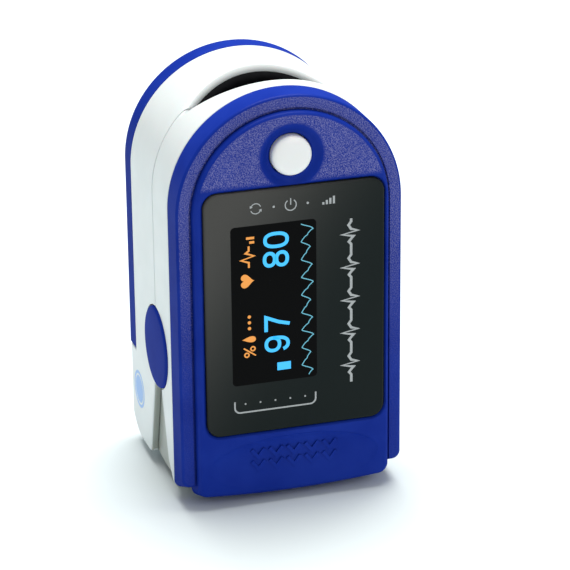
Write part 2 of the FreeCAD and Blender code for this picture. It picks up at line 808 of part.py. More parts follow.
def make_batteries():
    """Two AAA cells side by side, one of them the other way up."""
    for name, side in SIDES.items():
        x = cell("cell_spacing") / 2 * side
        low = cell("bay_low") + (3.2 if side < 0 else 0.35)
        can_low = low if side < 0 else low + cell("nub_length")
        can = rod(f"can_{name}", "z", (x, cell("cell_depth"), can_low), cell("cell_radius"),
                  cell("cell_length") - cell("nub_length"))
        can_top = can_low + cell("cell_length") - cell("nub_length")
        rim = rounded(f"can_rim_{name}", can, 0.4, lambda edge: edge.BoundBox.ZLength < 1e-4)
        nub_low = can_top - 0.1 if side < 0 else low
        nub = rod(f"nub_{name}", "z", (x, cell("cell_depth"), nub_low), cell("nub_radius"),
                  cell("nub_length") + 0.1)
        keep(join(f"battery_{name}_solid", [rim, nub]), f"battery_{name}")


def make_contacts():
    """Contact springs, the plus plate at the tail and the bridge at the finger end."""
    y, half_gap = cell("cell_depth"), cell("cell_spacing") / 2
    lifts = {"tail": (-half_gap, 0.57), "top": (half_gap, 45.12)}
    for name, (x, lift) in lifts.items():
        coil = wound(f"contact_coil_{name}", 1.8, 0.25, 0.72, 3, -6)
        move(coil, x, y, cell("bay_low") + lift)
        keep(coil, f"contact_spring_{name}")
    plates = {
        "contact_minus": (-half_gap, cell("bay_low")),
        "contact_plus": (half_gap, cell("bay_low")),
    }
    for label, (x, z) in plates.items():
        keep(block(label + "_plate", (x - 3.6, y - 3.2, z), (x + 3.6, y + 3.2, z + 0.3)), label)
    top = cell("bay_top")
    keep(block("bridge_plate", (-half_gap - 3.6, y - 3.2, top - 0.3), (half_gap + 3.6, y + 3.2, top)),
         "contact_bridge")


# ---------------------------------------------------------------- hinge

def make_hinge():
    pin_half = HALF - 0.2
    pin = rod("pin", "x", (-pin_half, PIVOT_Y, PIVOT_Z), cell("pin_radius"), pin_half * 2)
    keep(pin, "hinge_pin")
    for name, side in SIDES.items():
        inside, outside = cell("cap_inside"), HALF + cell("cap_proud")
        low = inside if side > 0 else -outside
        disc = rod(f"disc_{name}", "x", (low, PIVOT_Y, PIVOT_Z), cell("cap_radius"), outside - inside)
        face = outside if side > 0 else -outside
        cap = rounded(f"cap_round_{name}", disc, 0.35, flat_at_x(face))
        hole_low = inside - 0.1 if side > 0 else -pin_half - 0.02
        hole = rod(f"cap_hole_{name}", "x", (hole_low, PIVOT_Y, PIVOT_Z), cell("pin_radius") + 0.01,
                   pin_half - inside + 0.12)
        keep(carve(f"cap_{name}", cap, hole), f"hinge_cap_{name}")
        keep(make_closing_spring(name, cell("spring_place") * side), f"closing_spring_{name}")


def make_closing_spring(name, x):
    """Torsion spring about the pin: its coil, a leg on the front deck and a leg on the rear wall."""
    wire, mean = SIZES["spring_wire"], SIZES["spring_radius"]
    coil = wound(f"spring_coil_{name}", mean, wire, SIZES["spring_pitch"], SIZES["spring_turns"])
    coil.Placement = FreeCAD.Placement(FreeCAD.Vector(), TURNS["x"])
    low = x - spring_half()
    move(coil, low, PIVOT_Y, PIVOT_Z)
    foot = PIVOT_Z - mean
    front_leg = rod(f"front_leg_{name}", "y", (low, cell("deck_back") + 0.1, foot), wire,
                    PIVOT_Y - cell("deck_back") - 0.1)
    back_leg = rod(f"back_leg_{name}", "y", (x + spring_half(), PIVOT_Y, foot), wire,
                   cell("bay_floor") - 1.5 - PIVOT_Y)
    return join(f"spring_{name}", [coil, front_leg, back_leg])


def flat_at_x(face):
    def wanted(edge):
        box = edge.BoundBox
        return abs(box.XMin - face.value) < 1e-4 and abs(box.XMax - face.value) < 1e-4
    return wanted


# ---------------------------------------------------------------- electronics

def make_main_board():
    body = new_body("main_board_body")
    back = cell("board_front") + cell("board_thick")
    face_pad(body, "board", cell("board_front"), back, draw_arch, cell("board_half"), 5)
    for x, z in ((-8.5, 7.5), (8.5, 7.5)):
        face_cut(body, "locating_hole", cell("board_front"), back, draw_circle, x, z, 0.8)
    keep(body, "main_board")


def make_oled():
    """Display glass, the foam tape that holds it, and its folded flex tail."""
    x, z, front = cell("window_middle"), cell("window_height"), cell("cover_inside") + 0.05
    low, high = z - 13.35, z + 13.35
    keep(block("oled_glass", (x - 7.6, front, low), (x + 9.6, front + 1.4, high)), "oled_module")
    keep(block("foam", (x - 6.5, front + 1.4, low + 1), (x + 8.5, cell("board_front"), high - 1)),
         "oled_foam_tape")
    run = block("flex_run", (x - 4, front + 0.6, low - 3), (x + 6, front + 0.75, low))
    drop = block("flex_drop", (x - 4, front + 0.6, low - 3), (x + 6, cell("board_front"), low - 2.85))
    keep(join("flex_tail", [run, drop]), "display_flex")


def make_chip(label, x, z, wide, tall, thick, leads):
    """A chip on the back of the board, with its rows of leads left and right."""
    face = cell("board_front") + cell("board_thick")
    body = block(label + "_case", (x - wide / 2, face + 0.08, z - tall / 2),
                 (x + wide / 2, face + thick, z + tall / 2))
    solids = [body]
    pitch = tall / (leads + 1)
    for side in (-1, 1):
        for number in range(leads):
            height = z - tall / 2 + pitch * (number + 1)
            edge = side * wide / 2
            inner, outer = sorted((x + edge - side * 0.1, x + edge + side * 0.7))
            solids.append(block(label + "_lead", (inner, face, height - 0.12),
                                (outer, face + 0.2, height + 0.12)))
    keep(join(label + "_solid", solids), label)


def make_board_parts():
    """Switch, chips, coil, crystal, connector and the small chip parts."""
    front = cell("board_front")
    back = front + cell("board_thick")
    z = cell("button_height")
    case = block("switch_case", (-1.75, front - 0.9, z - 1.75), (1.75, front, z + 1.75))
    well = rod("switch_well", "y", (0, front - 1, z), 0.85, 0.9)
    keep(carve("switch_shell", case, well), "tact_switch")
    keep(rod("switch_tip", "y", (0, front - 1.3, z), 0.8, 0.7), "switch_plunger")
    make_chip("processor_chip", -2.0, 16.0, 5.0, 5.0, 1.0, 8)
    make_chip("sensor_amplifier", 3.0, 45.0, 3.0, 4.2, 0.95, 4)
    make_chip("power_converter", 7.5, 20.0, 2.0, 2.6, 0.9, 3)
    keep(block("coil_case", (-9.4, back, 22), (-6.4, back + 1.1, 25)), "power_coil")
    can = rod("crystal_can", "z", (-8, back + 0.55, 12), 0.5, 4)
    keep(can, "crystal")
    keep(block("plug_case", (-2.5, back, 6.5), (2.5, back + 1.0, 9.0)), "ribbon_connector")
    places = [(5, 12), (7, 12), (9, 12), (5, 27), (7, 27), (-4, 46), (-6, 46), (-8, 40), (8, 40), (8, 37)]
    chips = [block("chip_part", (x - 0.3, back, z - 0.5), (x + 0.3, back + 0.5, z + 0.5))
             for x, z in places]
    keep(group("chip_part_group", chips), "board_capacitors")


def make_optics():
    """Light source in the front half, light sensor in the rear half, each on its own board."""
    z, front = cell("sensor_height"), cell("channel_front")
    keep(block("emitter_plate", (-3.4, cell("deck_front") + 0.05, z - 2.9),
               (3.4, cell("deck_front") + 0.55, z + 2.9)), "emitter_board")
    keep(block("led_case", (-1.6, cell("deck_front") + 0.55, z - 1.4),
               (1.6, front - 0.1, z + 1.4)), "emitter_led")
    make_window("emitter_window", front + 0.3, front + 1.3)
    back = cell("bay_floor")
    keep(block("sensor_plate", (-1.9, back + 0.25, z - 3.8), (1.9, back + 0.75, z + 3.8)), "sensor_board")
    keep(block("diode_case", (-1.5, back - 0.6, z - 1.8), (1.5, back + 0.25, z + 1.8)), "photodiode")
    make_window("sensor_window", cell("channel_back") - 1.3, cell("channel_back") - 0.3)


def make_ribbons():
    """Flat cable from the light sensor to the board, in two runs that meet beside the hinge."""
    back = cell("bay_floor")
    top, turn, y_turn = cell("sensor_height") - 3.8, cell("pivot_height") + 3.2, PIVOT_Y + 1.0
    rise = block("rear_run", (-1.4, back - 0.3, turn), (1.4, back - 0.15, top))
    across = block("rear_bend", (-1.4, y_turn, turn), (1.4, back - 0.15, turn + 0.15))
    keep(join("rear_ribbon", [rise, across]), "sensor_ribbon_rear")
    front_y = cell("deck_back") + 0.3
    low = 9.6
    plug_y = cell("board_front") + cell("board_thick") + 0.45
    runs = [
        block("front_bend", (-1.4, front_y, turn), (1.4, y_turn - 0.4, turn + 0.15)),
        block("front_run", (-1.4, front_y, low), (1.4, front_y + 0.15, turn + 0.15)),
        block("front_through", (-1.4, plug_y, low), (1.4, front_y + 0.15, low + 0.15)),
        block("front_plug", (-1.4, plug_y, low - 0.58), (1.4, plug_y + 0.15, low + 0.15)),
    ]
    keep(join("front_ribbon", runs), "sensor_ribbon_front")


def make_screws():
    """Four self-tapping screws that hold the front shell to the cover."""
    seat = cell("deck_back") - cell("seat_deep")
    screws = []
    for number, (x, z) in enumerate(screw_places()):
        head = rod(f"head_{number}", "y", (x, seat, z), 1.2, 0.8)
        slot = block(f"slot_{number}", (x - 1.3, seat + 0.5, z - 0.18), (x + 1.3, seat + 0.9, z + 0.18))
        shank = rod(f"shank_{number}", "y", (x, seat - 4.4, z), 0.68, 4.5)
        screws.append(join(f"screw_{number}", [carve(f"slotted_{number}", head, slot), shank]))
    keep(group("cover_screw_group", screws), "cover_screws")


# ---------------------------------------------------------------- build and write

def check_document():
    """Stops if any object failed, or if a piece is empty or not a valid shape."""
    doc.recompute()
    failed = [thing.Label for thing in doc.Objects
              if "Invalid" in thing.State or "Error" in thing.State]
    failed += [thing.Label for thing in PARTS if thing.Shape.isNull() or not thing.Shape.isValid()]
    if failed:
        raise ValueError("failed: " + ", ".join(failed))


def write_parts():
    os.makedirs("parts", exist_ok=True)
    for thing in PARTS:
        thing.Shape.exportStep(f"parts/{thing.Label}.step")
        box = thing.Shape.BoundBox
        print(f"{thing.Label:22} {thing.Shape.Volume:9.1f} mm3  solids {len(thing.Shape.Solids)}",
              f" x {box.XMin:.2f} {box.XMax:.2f}  y {box.YMin:.2f} {box.YMax:.2f}",
              f" z {box.ZMin:.2f} {box.ZMax:.2f}")


make_front_cover()
make_display_lens()
make_lens_tape()
make_power_button()
make_front_shell()
make_pad("front_pad", cell("channel_front"), -1)
make_pad("rear_pad", cell("channel_back"), 1)
make_rear_shell()
make_battery_door()
make_batteries()
make_contacts()
make_hinge()
make_main_board()
make_oled()
make_board_parts()
make_optics()
make_ribbons()
make_screws()
check_document()
write_parts()
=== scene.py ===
import json
import math

import bmesh
import bpy
from mathutils import Matrix, Vector


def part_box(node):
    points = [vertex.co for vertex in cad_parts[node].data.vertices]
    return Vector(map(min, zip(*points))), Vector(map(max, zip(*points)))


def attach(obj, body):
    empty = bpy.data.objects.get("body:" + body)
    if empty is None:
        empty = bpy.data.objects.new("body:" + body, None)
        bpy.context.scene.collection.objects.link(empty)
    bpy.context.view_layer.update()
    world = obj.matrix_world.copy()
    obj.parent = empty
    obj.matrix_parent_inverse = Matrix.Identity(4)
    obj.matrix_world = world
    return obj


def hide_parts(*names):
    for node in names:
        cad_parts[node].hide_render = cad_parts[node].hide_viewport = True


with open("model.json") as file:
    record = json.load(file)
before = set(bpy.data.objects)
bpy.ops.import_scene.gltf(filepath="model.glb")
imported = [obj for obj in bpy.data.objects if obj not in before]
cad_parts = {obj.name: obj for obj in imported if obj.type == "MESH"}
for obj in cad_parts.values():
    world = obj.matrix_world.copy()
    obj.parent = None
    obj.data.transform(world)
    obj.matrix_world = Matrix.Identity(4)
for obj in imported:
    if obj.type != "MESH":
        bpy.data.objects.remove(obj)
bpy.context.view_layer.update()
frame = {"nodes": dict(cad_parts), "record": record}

MM = 0.001


# ---------------------------------------------------------------- driving sizes, mm

def mm_box(node):
    low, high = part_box(node)
    return [c / MM for c in low], [c / MM for c in high]


COVER_LOW, COVER_HIGH = mm_box("front_cover")
LENS_LOW, LENS_HIGH = mm_box("display_lens")
BUTTON_LOW, BUTTON_HIGH = mm_box("power_button")
REAR_LOW = mm_box("rear_shell")[0]
DOOR_LOW, DOOR_HIGH = mm_box("battery_door")
CAP_LOW, CAP_HIGH = mm_box("hinge_cap_right")

HALF = COVER_HIGH[0]
ARCH = COVER_HIGH[2] - HALF
PANEL_FRONT, COVER_BACK = COVER_LOW[1], COVER_HIGH[1]
BAND_FRONT = PANEL_FRONT + 1.0
COVER_INSIDE = PANEL_FRONT + 2.3
CASE_FOOT, TAIL_FOOT = 1.7, REAR_LOW[2]
FOOT_CORNER = 1.2
WALL = 1.6
BAND_RISE, TONGUE_RISE = 1.9, 1.6
PANEL_HALF = 13.9
GROOVE = 0.35
PARTING, PARTING_GAP = -0.95, 0.15
DECK_FRONT, DECK_BACK = -7.6, -6.4
BAY_FLOOR = 3.0
DOOR_FRONT, DOOR_INSIDE, BACK = 10.9, 13.9, DOOR_HIGH[1]
DOOR_ROUND = 1.0
HOOK_FRONT, HOOK_THICK = DOOR_LOW[1], 0.8
PIVOT_Y, PIVOT_Z = (CAP_LOW[1] + CAP_HIGH[1]) / 2, (CAP_LOW[2] + CAP_HIGH[2]) / 2
CAP_RADIUS = (CAP_HIGH[1] - CAP_LOW[1]) / 2
HUB_RADIUS = CAP_RADIUS + 0.2
SKIRT_INSIDE, SKIRT_OUTSIDE, SKIRT_RADIUS = 14.0, 15.0, 18.4
EAR_INSIDE, EAR_OUTSIDE, EAR_RADIUS = 12.2, 13.6, 4.2
CHANNEL_RADIUS, CHANNEL_FRONT, CHANNEL_BACK, CHANNEL_END = 17.5, -5.85, 2.25, 26.0
LENS_X, LENS_Z = (LENS_LOW[0] + LENS_HIGH[0]) / 2, (LENS_LOW[2] + LENS_HIGH[2]) / 2
LENS_WIDE, LENS_TALL = LENS_HIGH[0] - LENS_LOW[0], LENS_HIGH[2] - LENS_LOW[2]
LENS_FRONT, LENS_BACK = LENS_LOW[1], LENS_HIGH[1]
BUTTON_X, BUTTON_Z = 0.0, (BUTTON_LOW[2] + BUTTON_HIGH[2]) / 2
BUTTON_RADIUS = 2.82
SCREEN_LEFT, SCREEN_RIGHT, SCREEN_LOW, SCREEN_HIGH = -8.84, 3.27, 18.44, 41.59
SCREW_PLACES = [(x, z) for x in (-12.6, 12.6) for z in (8, 40)]
SCREW_BORE, SCREW_HEAD, HEAD_DEEP = 0.95, 1.35, 0.6
FRONT_TAIL_ANGLE, REAR_TAIL_ANGLE = 17.6, 14.6
BAY_HALF, BAY_TOP = 11.2, 52.05
HOOK_HEIGHTS, HOOK_LONG = (24.0, 35.0), 4.0
SENSOR_Z = 37.0
SIDES = (-1, 1)
FRONT_LIP, BACK_LIP = 0.5, 1.3


# ---------------------------------------------------------------- outlines

def arc(cx, cy, radius, start, end, steps):
    """Points on an arc, both ends included. Angles in degrees."""
    points = []
    for i in range(steps + 1):
        angle = math.radians(start + (end - start) * i / steps)
        points.append((cx + radius * math.cos(angle), cy + radius * math.sin(angle)))
    return points


def standing(half, foot, corner, between=()):
    """Straight sides and a round top over a foot with two round corners and points between."""
    return (arc(-half + corner, foot + corner, corner, 180, 270, 8) + list(between)
            + arc(half - corner, foot + corner, corner, 270, 360, 8)
            + arc(0, ARCH, half, 0, 180, 96))


def arch(half, foot, corner=0.05):
    """The case's outline."""
    return standing(half, foot, max(corner, 0.05))


def panel_outline(inset, lift):
    """The raised panel, whose sides run down to the push tongue with its slightly round foot."""
    half, corner, sag = PANEL_HALF - inset, 1.5 - inset * 0.6, 0.5
    chord = half - corner
    foot = [(chord * t, lift + sag * t * t) for t in (i / 12 - 1 for i in range(1, 24))]
    return standing(half, lift + sag, corner, foot)


def round_box(cx, cy, wide, tall, corner):
    x, y = wide / 2 - corner, tall / 2 - corner
    centers = ((x, y, 0), (-x, y, 90), (-x, -y, 180), (x, -y, 270))
    return [point for dx, dy, start in centers
            for point in arc(cx + dx, cy + dy, corner, start, start + 90, 8)]


def box_outline(left, low, right, high):
    return [(left, low), (right, low), (right, high), (left, high)]


def circle(cx, cy, radius, steps=48):
    return arc(cx, cy, radius, 0, 360, steps)[:-1]


def loop(cx, cz, rx, rz, start=0, end=360, steps=40, power=1.0):
    """Points on an ellipse, or on a squarer one where power is below 1."""
    points = []
    full = end - start == 360
    for i in range(steps if full else steps + 1):
        a = math.radians(start + (end - start) * i / steps)
        c, s = math.cos(a), math.sin(a)
        points.append((cx + rx * math.copysign(abs(c) ** power, c),
                       cz + rz * math.copysign(abs(s) ** power, s)))
    return points


def angles(count):
    """Equal steps around a full turn, in radians."""
    return [2 * math.pi * i / count for i in range(count)]


def fan(radius, front_angle, back_angle):
    """A sector below the hinge pin, seen from the side."""
    return [(PIVOT_Y, PIVOT_Z)] + arc(PIVOT_Y, PIVOT_Z, radius, front_angle - 90, back_angle - 90, 24)


def grown(outline, distance):
    """The outline with every edge moved outwards. Sharp corners stay sharp."""
    area = sum(a[0] * b[1] - b[0] * a[1] for a, b in zip(outline, outline[1:] + outline[:1]))
    sign = 1 if area > 0 else -1
    result = []
    for i, here in enumerate(outline):
        before, after = outline[i - 1], outline[(i + 1) % len(outline)]
        a = Vector((here[0] - before[0], here[1] - before[1])).normalized()
        b = Vector((after[0] - here[0], after[1] - here[1])).normalized()
        na, nb = Vector((a.y, -a.x)) * sign, Vector((b.y, -b.x)) * sign
        bisector = (na + nb).normalized()
        reach = distance / max(bisector.dot(na), 0.3)
        result.append((here[0] + bisector.x * reach, here[1] + bisector.y * reach))
    return result


def quarter(radius, steps=5):
    """(travel, inset) pairs along a rounded edge, from the wall to the face."""
    pairs = []
    for i in range(steps + 1):
        angle = math.pi / 2 * i / steps
        pairs.append((radius * math.sin(angle), radius * (1 - math.cos(angle))))
    return pairs


def stations(blunt_end, chamfer, round_end, radius, steps):
    """(place, inset) pairs through a solid, chamfered at one end and rounded at the other."""
    way = 1 if round_end > blunt_end else -1
    pairs = [(blunt_end, chamfer), (blunt_end + way * chamfer, 0)]
    return pairs + [(round_end + way * (travel - radius), inset) for travel, inset in quarter(radius, steps)]


def climb(y, back, front, height):
    """How far a slanted foot has climbed at a depth between its back and its front."""
    return height * (back - y) / (back - front)


# ---------------------------------------------------------------- meshes

def at_y(outline, y):
    return [(a, y, b) for a, b in outline]


def at_x(outline, x):
    return [(x, a, b) for a, b in outline]


def at_z(outline, z):
    return [(a, b, z) for a, b in outline]


def new_object(name, points, faces):
    mesh = bpy.data.meshes.new(name)
    mesh.from_pydata([[c * MM for c in p] for p in points], [], faces)
    work = bmesh.new()
    work.from_mesh(mesh)
    bmesh.ops.remove_doubles(work, verts=work.verts, dist=1e-8)
    bmesh.ops.recalc_face_normals(work, faces=work.faces)
    work.to_mesh(mesh)
    work.free()
    thing = bpy.data.objects.new(name, mesh)
    bpy.context.scene.collection.objects.link(thing)
    return thing


def skin(name, rings, closed=False):
    """A solid through rings of equally many points. Closed joins the last ring to the first."""
    count, last = len(rings[0]), len(rings) - 1
    faces = []
    for k in range(len(rings) if closed else last):
        q = (k + 1) % len(rings)
        for i in range(count):
            j = (i + 1) % count
            faces.append((k * count + i, k * count + j, q * count + j, q * count + i))
    if not closed:
        faces += [tuple(range(count)), tuple(last * count + i for i in range(count))]
    return new_object(name, [p for ring in rings for p in ring], faces)


def prism_y(name, outline, front, back):
    return skin(name, [at_y(outline, front), at_y(outline, back)])


def prism_x(name, outline, left, right):
    return skin(name, [at_x(outline, left), at_x(outline, right)])


def lathe_y(name, cx, cz, profile, steps=64):
    """A turned solid about a line along Y, from (radius, y) pairs."""
    return skin(name, [at_y(circle(cx, cz, radius, steps), y) for radius, y in profile])


def lathe_x(name, cy, cz, profile, steps=72):
    return skin(name, [at_x(circle(cy, cz, radius, steps), x) for radius, x in profile])


def settle(thing):
    """Bakes the modifiers into the mesh."""
    graph = bpy.context.evaluated_depsgraph_get()
    mesh = bpy.data.meshes.new_from_object(thing.evaluated_get(graph))
    old = thing.data
    thing.modifiers.clear()
    thing.data = mesh
    bpy.data.meshes.remove(old)


def combine(thing, tools, operation):
    for tool in tools:
        change = thing.modifiers.new("combine", "BOOLEAN")
        change.operation = operation
        change.solver = "EXACT"
        change.object = tool
        settle(thing)
        bpy.data.objects.remove(tool)


def cut(thing, *tools):
    combine(thing, tools, "DIFFERENCE")


def add(thing, *tools):
    combine(thing, tools, "UNION")


def merge(name, things):
    """Puts separate closed solids into one object."""
    work = bmesh.new()
    for thing in things:
        work.from_mesh(thing.data)
        bpy.data.objects.remove(thing)
    mesh = bpy.data.meshes.new(name)
    work.to_mesh(mesh)
    work.free()
    joined = bpy.data.objects.new(name, mesh)
    bpy.context.scene.collection.objects.link(joined)
    return joined


def dress(thing, body, material, nodes=(), sharp=32):
    """Smooth shading with crisp edges, a material, and the body that the piece rides on."""
    work = bmesh.new()
    work.from_mesh(thing.data)
    bmesh.ops.dissolve_degenerate(work, edges=work.edges, dist=2e-6)
    work.to_mesh(thing.data)
    work.free()
    for face in thing.data.polygons:
        face.use_smooth = True
    thing.data.set_sharp_from_angle(angle=math.radians(sharp))
    weighted = thing.modifiers.new("even_normals", "WEIGHTED_NORMAL")
    weighted.keep_sharp = True
    thing.data.materials.clear()
    thing.data.materials.append(material)
    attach(thing, body)
    if nodes:
        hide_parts(*nodes)
    return thing


# ---------------------------------------------------------------- materials

class Finish:
    """A node material: a Principled shader on object coordinates, with helpers for its detail."""

    def __init__(self, name, color, roughness, **sockets):
        self.material = bpy.data.materials.new(name)
        self.material.use_nodes = True
        self.tree = self.material.node_tree
        self.shader = self.tree.nodes["Principled BSDF"]
        self.shader.inputs["Base Color"].default_value = (*color, 1)
        self.shader.inputs["Roughness"].default_value = roughness
        for key, value in sockets.items():
            self.shader.inputs[key.replace("_", " ")].default_value = value
        coordinates = self.node("ShaderNodeTexCoord").outputs
        self.place, self.facing = coordinates["Object"], coordinates["Normal"]

    def node(self, kind, sockets=None, **settings):
        """A new node. A socket takes a node's output, a number, a vector as a list or a colour as a tuple."""
        made = self.tree.nodes.new(kind)
        for key, value in settings.items():
            setattr(made, key, value)
        for key, value in (sockets or {}).items():
            if isinstance(value, bpy.types.NodeSocket):
                self.link(value, made.inputs[key])
            elif value is not None:
                made.inputs[key].default_value = (*value, 1) if isinstance(value, tuple) else value
        return made

    def link(self, source, target):
        self.tree.links.new(source, target)

    def math(self, operation, a, b=None):
        return self.node("ShaderNodeMath", {0: a, 1: b}, operation=operation).outputs[0]

    def product(self, first, *others):
        for other in others:
            first = self.math("MULTIPLY", first, other)
        return first

    def axes(self, vector=None):
        return self.node("ShaderNodeSeparateXYZ", {0: vector or self.place}).outputs

    def noise(self, cell, detail=2.0, roughness=0.5):
        """Noise whose blotches are about this many millimetres wide."""
        return self.node("ShaderNodeTexNoise", {
            "Scale": 1 / (cell * MM), "Detail": detail, "Roughness": roughness,
            "Vector": self.place}).outputs["Fac"]

    def cells(self, cell):
        """Distance from the middles of scattered cells about this many millimetres wide."""
        return self.node("ShaderNodeTexVoronoi", {
            "Scale": 1 / (cell * MM), "Vector": self.place}).outputs["Distance"]

    def band(self, value, low, high, blur):
        """1 between low and high metres, 0 outside, with soft edges."""
        up = self.ramp(value, low - blur, low + blur)
        down = self.ramp(value, high - blur, high + blur)
        return self.math("SUBTRACT", up, down)

    def ramp(self, value, low, high, out_low=0.0, out_high=1.0):
        """A smooth step from out_low at low to out_high at high."""
        return self.node("ShaderNodeMapRange", {
            "Value": value, "From Min": low, "From Max": high, "To Min": out_low, "To Max": out_high,
        }, interpolation_type="SMOOTHSTEP").outputs[0]

    def blend_colors(self, factor, a, b):
        """Colour a where the factor is 0 and b where it is 1."""
        return self.node("ShaderNodeMix", {"Factor": factor, 6: a, 7: b}, data_type="RGBA").outputs[2]

    def set(self, socket, source):
        self.link(source, self.shader.inputs[socket])
        return self

    def tint(self, factor, a, b):
        return self.set("Base Color", self.blend_colors(factor, a, b))

    def mottle(self, source, dark, light):
        """Base colour in soft patches of two close shades."""
        return self.tint(self.ramp(source, 0.3, 0.7), dark, light)

    def vary_roughness(self, source, low, high):
        return self.set("Roughness", self.ramp(source, 0.3, 0.7, low, high))

    def bump(self, height, depth, strength=1.0):
        """Relief of about this many millimetres. It comes last, and returns the material."""
        return self.set("Normal", self.node("ShaderNodeBump", {
            "Distance": depth * MM, "Strength": strength, "Height": height}).outputs[0]).material


BLUE = (0.0065, 0.026, 0.27)


def blue_plastic(name, grain):
    """Satin blue plastic. Grain adds spark-eroded texture to the front faces above the display, with painted
    glints in the base colour that grow stronger towards the top.
    """
    finish = Finish(name, BLUE, 0.42, Specular_IOR_Level=0.0, Coat_Weight=0.1, Coat_Roughness=0.32)
    cloud = finish.noise(6, 3)
    color = finish.blend_colors(finish.ramp(cloud, 0.3, 0.7), (0.005, 0.023, 0.255), (0.008, 0.030, 0.29))
    if not grain:
        finish.set("Base Color", color)
        finish.vary_roughness(cloud, 0.33, 0.41)
        return finish.bump(finish.noise(0.35, 4), 0.004)
    x, y, z = finish.axes()
    facing_front = finish.math("ABSOLUTE", finish.axes(finish.facing)[1])
    forward = finish.ramp(facing_front, 0.90, 0.985)
    above = finish.ramp(z, (LENS_HIGH[2] + 0.3) * MM, (LENS_HIGH[2] + 1.2) * MM)
    offsets = [finish.math("POWER", finish.math("SUBTRACT", axis, middle * MM), 2)
               for axis, middle in ((x, BUTTON_X), (z, BUTTON_Z))]
    reach = finish.math("SQRT", finish.math("ADD", *offsets))
    outside_dish = finish.ramp(reach, 4.3 * MM, 4.9 * MM)
    panel = finish.product(above, outside_dish)
    low_front = finish.ramp(y, (BAND_FRONT - 0.3) * MM, (BAND_FRONT - 0.1) * MM)
    where = finish.math("MAXIMUM", panel, low_front)
    mask = finish.product(where, forward)
    pits = finish.cells(0.30)
    fine = finish.noise(0.2, 3, 0.6)
    height = finish.math("ADD", finish.product(pits, 0.8), fine)
    # Painted glints: pale lilac specks mixed into the base colour of the grained faces, fading out towards
    # the bottom.
    painted_glint_spots = finish.ramp(finish.noise(0.14, 3, 0.8), 0.42, 0.66)
    fade = finish.ramp(z, 14 * MM, 47 * MM, 0.08, 0.8)
    lit = finish.product(painted_glint_spots, mask, fade)
    finish.tint(lit, color, (0.28, 0.275, 0.52))
    finish.set("Roughness", finish.ramp(mask, 0.0, 1.0, 0.34, 0.44))
    return finish.bump(height, 0.05, finish.ramp(mask, 0.0, 1.0, 0.02, 0.75))


def white_plastic(name, tint=(0.655, 0.70, 0.705)):
    finish = Finish(name, tint, 0.34, Subsurface_Weight=0.06, Subsurface_Scale=0.0015,
                    Coat_Weight=0.1, Coat_Roughness=0.2)
    finish.mottle(finish.noise(9, 3), tint, tuple(min(c * 1.03, 1) for c in tint))
    finish.vary_roughness(finish.noise(3, 3), 0.30, 0.38)
    return finish.bump(finish.noise(0.4, 4), 0.003)


def lens_glass():
    """Back-printed window: smoked black print, with the clear part over the screen near black. The print
    carries a painted reflection, lighter towards the top left.
    """
    finish = Finish("lens_print_black_painted_reflection", (0.02, 0.02, 0.022), 0.16, Specular_IOR_Level=0.05)
    x, _, z = finish.axes()
    corner, blur = 0.6, 0.04
    spans = []
    for axis, low, high in ((x, SCREEN_LEFT, SCREEN_RIGHT), (z, SCREEN_LOW, SCREEN_HIGH)):
        away = finish.math("ABSOLUTE", finish.math("SUBTRACT", axis, (low + high) / 2 * MM))
        past = finish.math("SUBTRACT", away, ((high - low) / 2 - corner) * MM)
        spans.append(finish.math("POWER", finish.math("MAXIMUM", past, 0.0), 2))
    reach = finish.math("SQRT", finish.math("ADD", *spans))
    inside = finish.ramp(reach, (corner - blur) * MM, (corner + blur) * MM, 1.0, 0.0)
    # Painted reflection: the print grades from darker at the bottom right to lighter at the top left.
    slant = finish.math("SUBTRACT", z, finish.product(x, 1.5))
    fall = finish.math("POWER", finish.ramp(slant, 0, 60 * MM), 3.0)
    shade = finish.blend_colors(fall, (0.010, 0.0145, 0.0145), (0.075, 0.073, 0.069))
    finish.tint(inside, shade, (0.0008, 0.0008, 0.001))
    finish.vary_roughness(finish.noise(4, 3), 0.2, 0.26)
    return finish.bump(finish.noise(1.4, 2), 0.0006)


def ink(name, color, roughness=0.45):
    finish = Finish(name, color, roughness)
    speck = finish.noise(0.12, 2)
    finish.mottle(speck, tuple(c * 0.92 for c in color), color)
    return finish.bump(speck, 0.001)


def glow(name, color, strength):
    """Light of the lit dots of the screen, with the faint grid between them."""
    finish = Finish(name, tuple(c * 0.25 for c in color), 0.4, Emission_Strength=strength)
    x, _, z = finish.axes()
    pitch = 0.18 * MM
    waves = [finish.math("SINE", finish.product(axis, 2 * math.pi / pitch)) for axis in (x, z)]
    grid = finish.ramp(finish.product(*waves), -1.0, 1.0)
    finish.set("Emission Color", finish.blend_colors(grid, tuple(c * 0.86 for c in color), color))
    return finish.material


def silicone():
    finish = Finish("silicone_soft_black", (0.0035, 0.0035, 0.004), 0.85, Specular_IOR_Level=0.03)
    dust = finish.noise(0.9, 4)
    finish.mottle(dust, (0.0022, 0.0022, 0.0028), (0.0045, 0.0045, 0.0055))
    finish.vary_roughness(dust, 0.8, 0.9)
    return finish.bump(finish.noise(0.12, 3), 0.01)


def metal(name, color, roughness, streak):
    """Brushed metal. Streak is the scale of its grain along X, Y and Z."""
    finish = Finish(name, color, roughness, Metallic=1.0)
    mapping = finish.node("ShaderNodeMapping", {"Vector": finish.place, "Scale": streak})
    finish.place = mapping.outputs[0]
    brushed = finish.noise(0.5, 4)
    finish.vary_roughness(brushed, roughness * 0.8, roughness * 1.3)
    dull = tuple(c * 0.82 for c in color)
    finish.tint(finish.ramp(finish.noise(2.5, 3), 0.35, 0.75), color, dull)
    return finish.bump(brushed, 0.003)


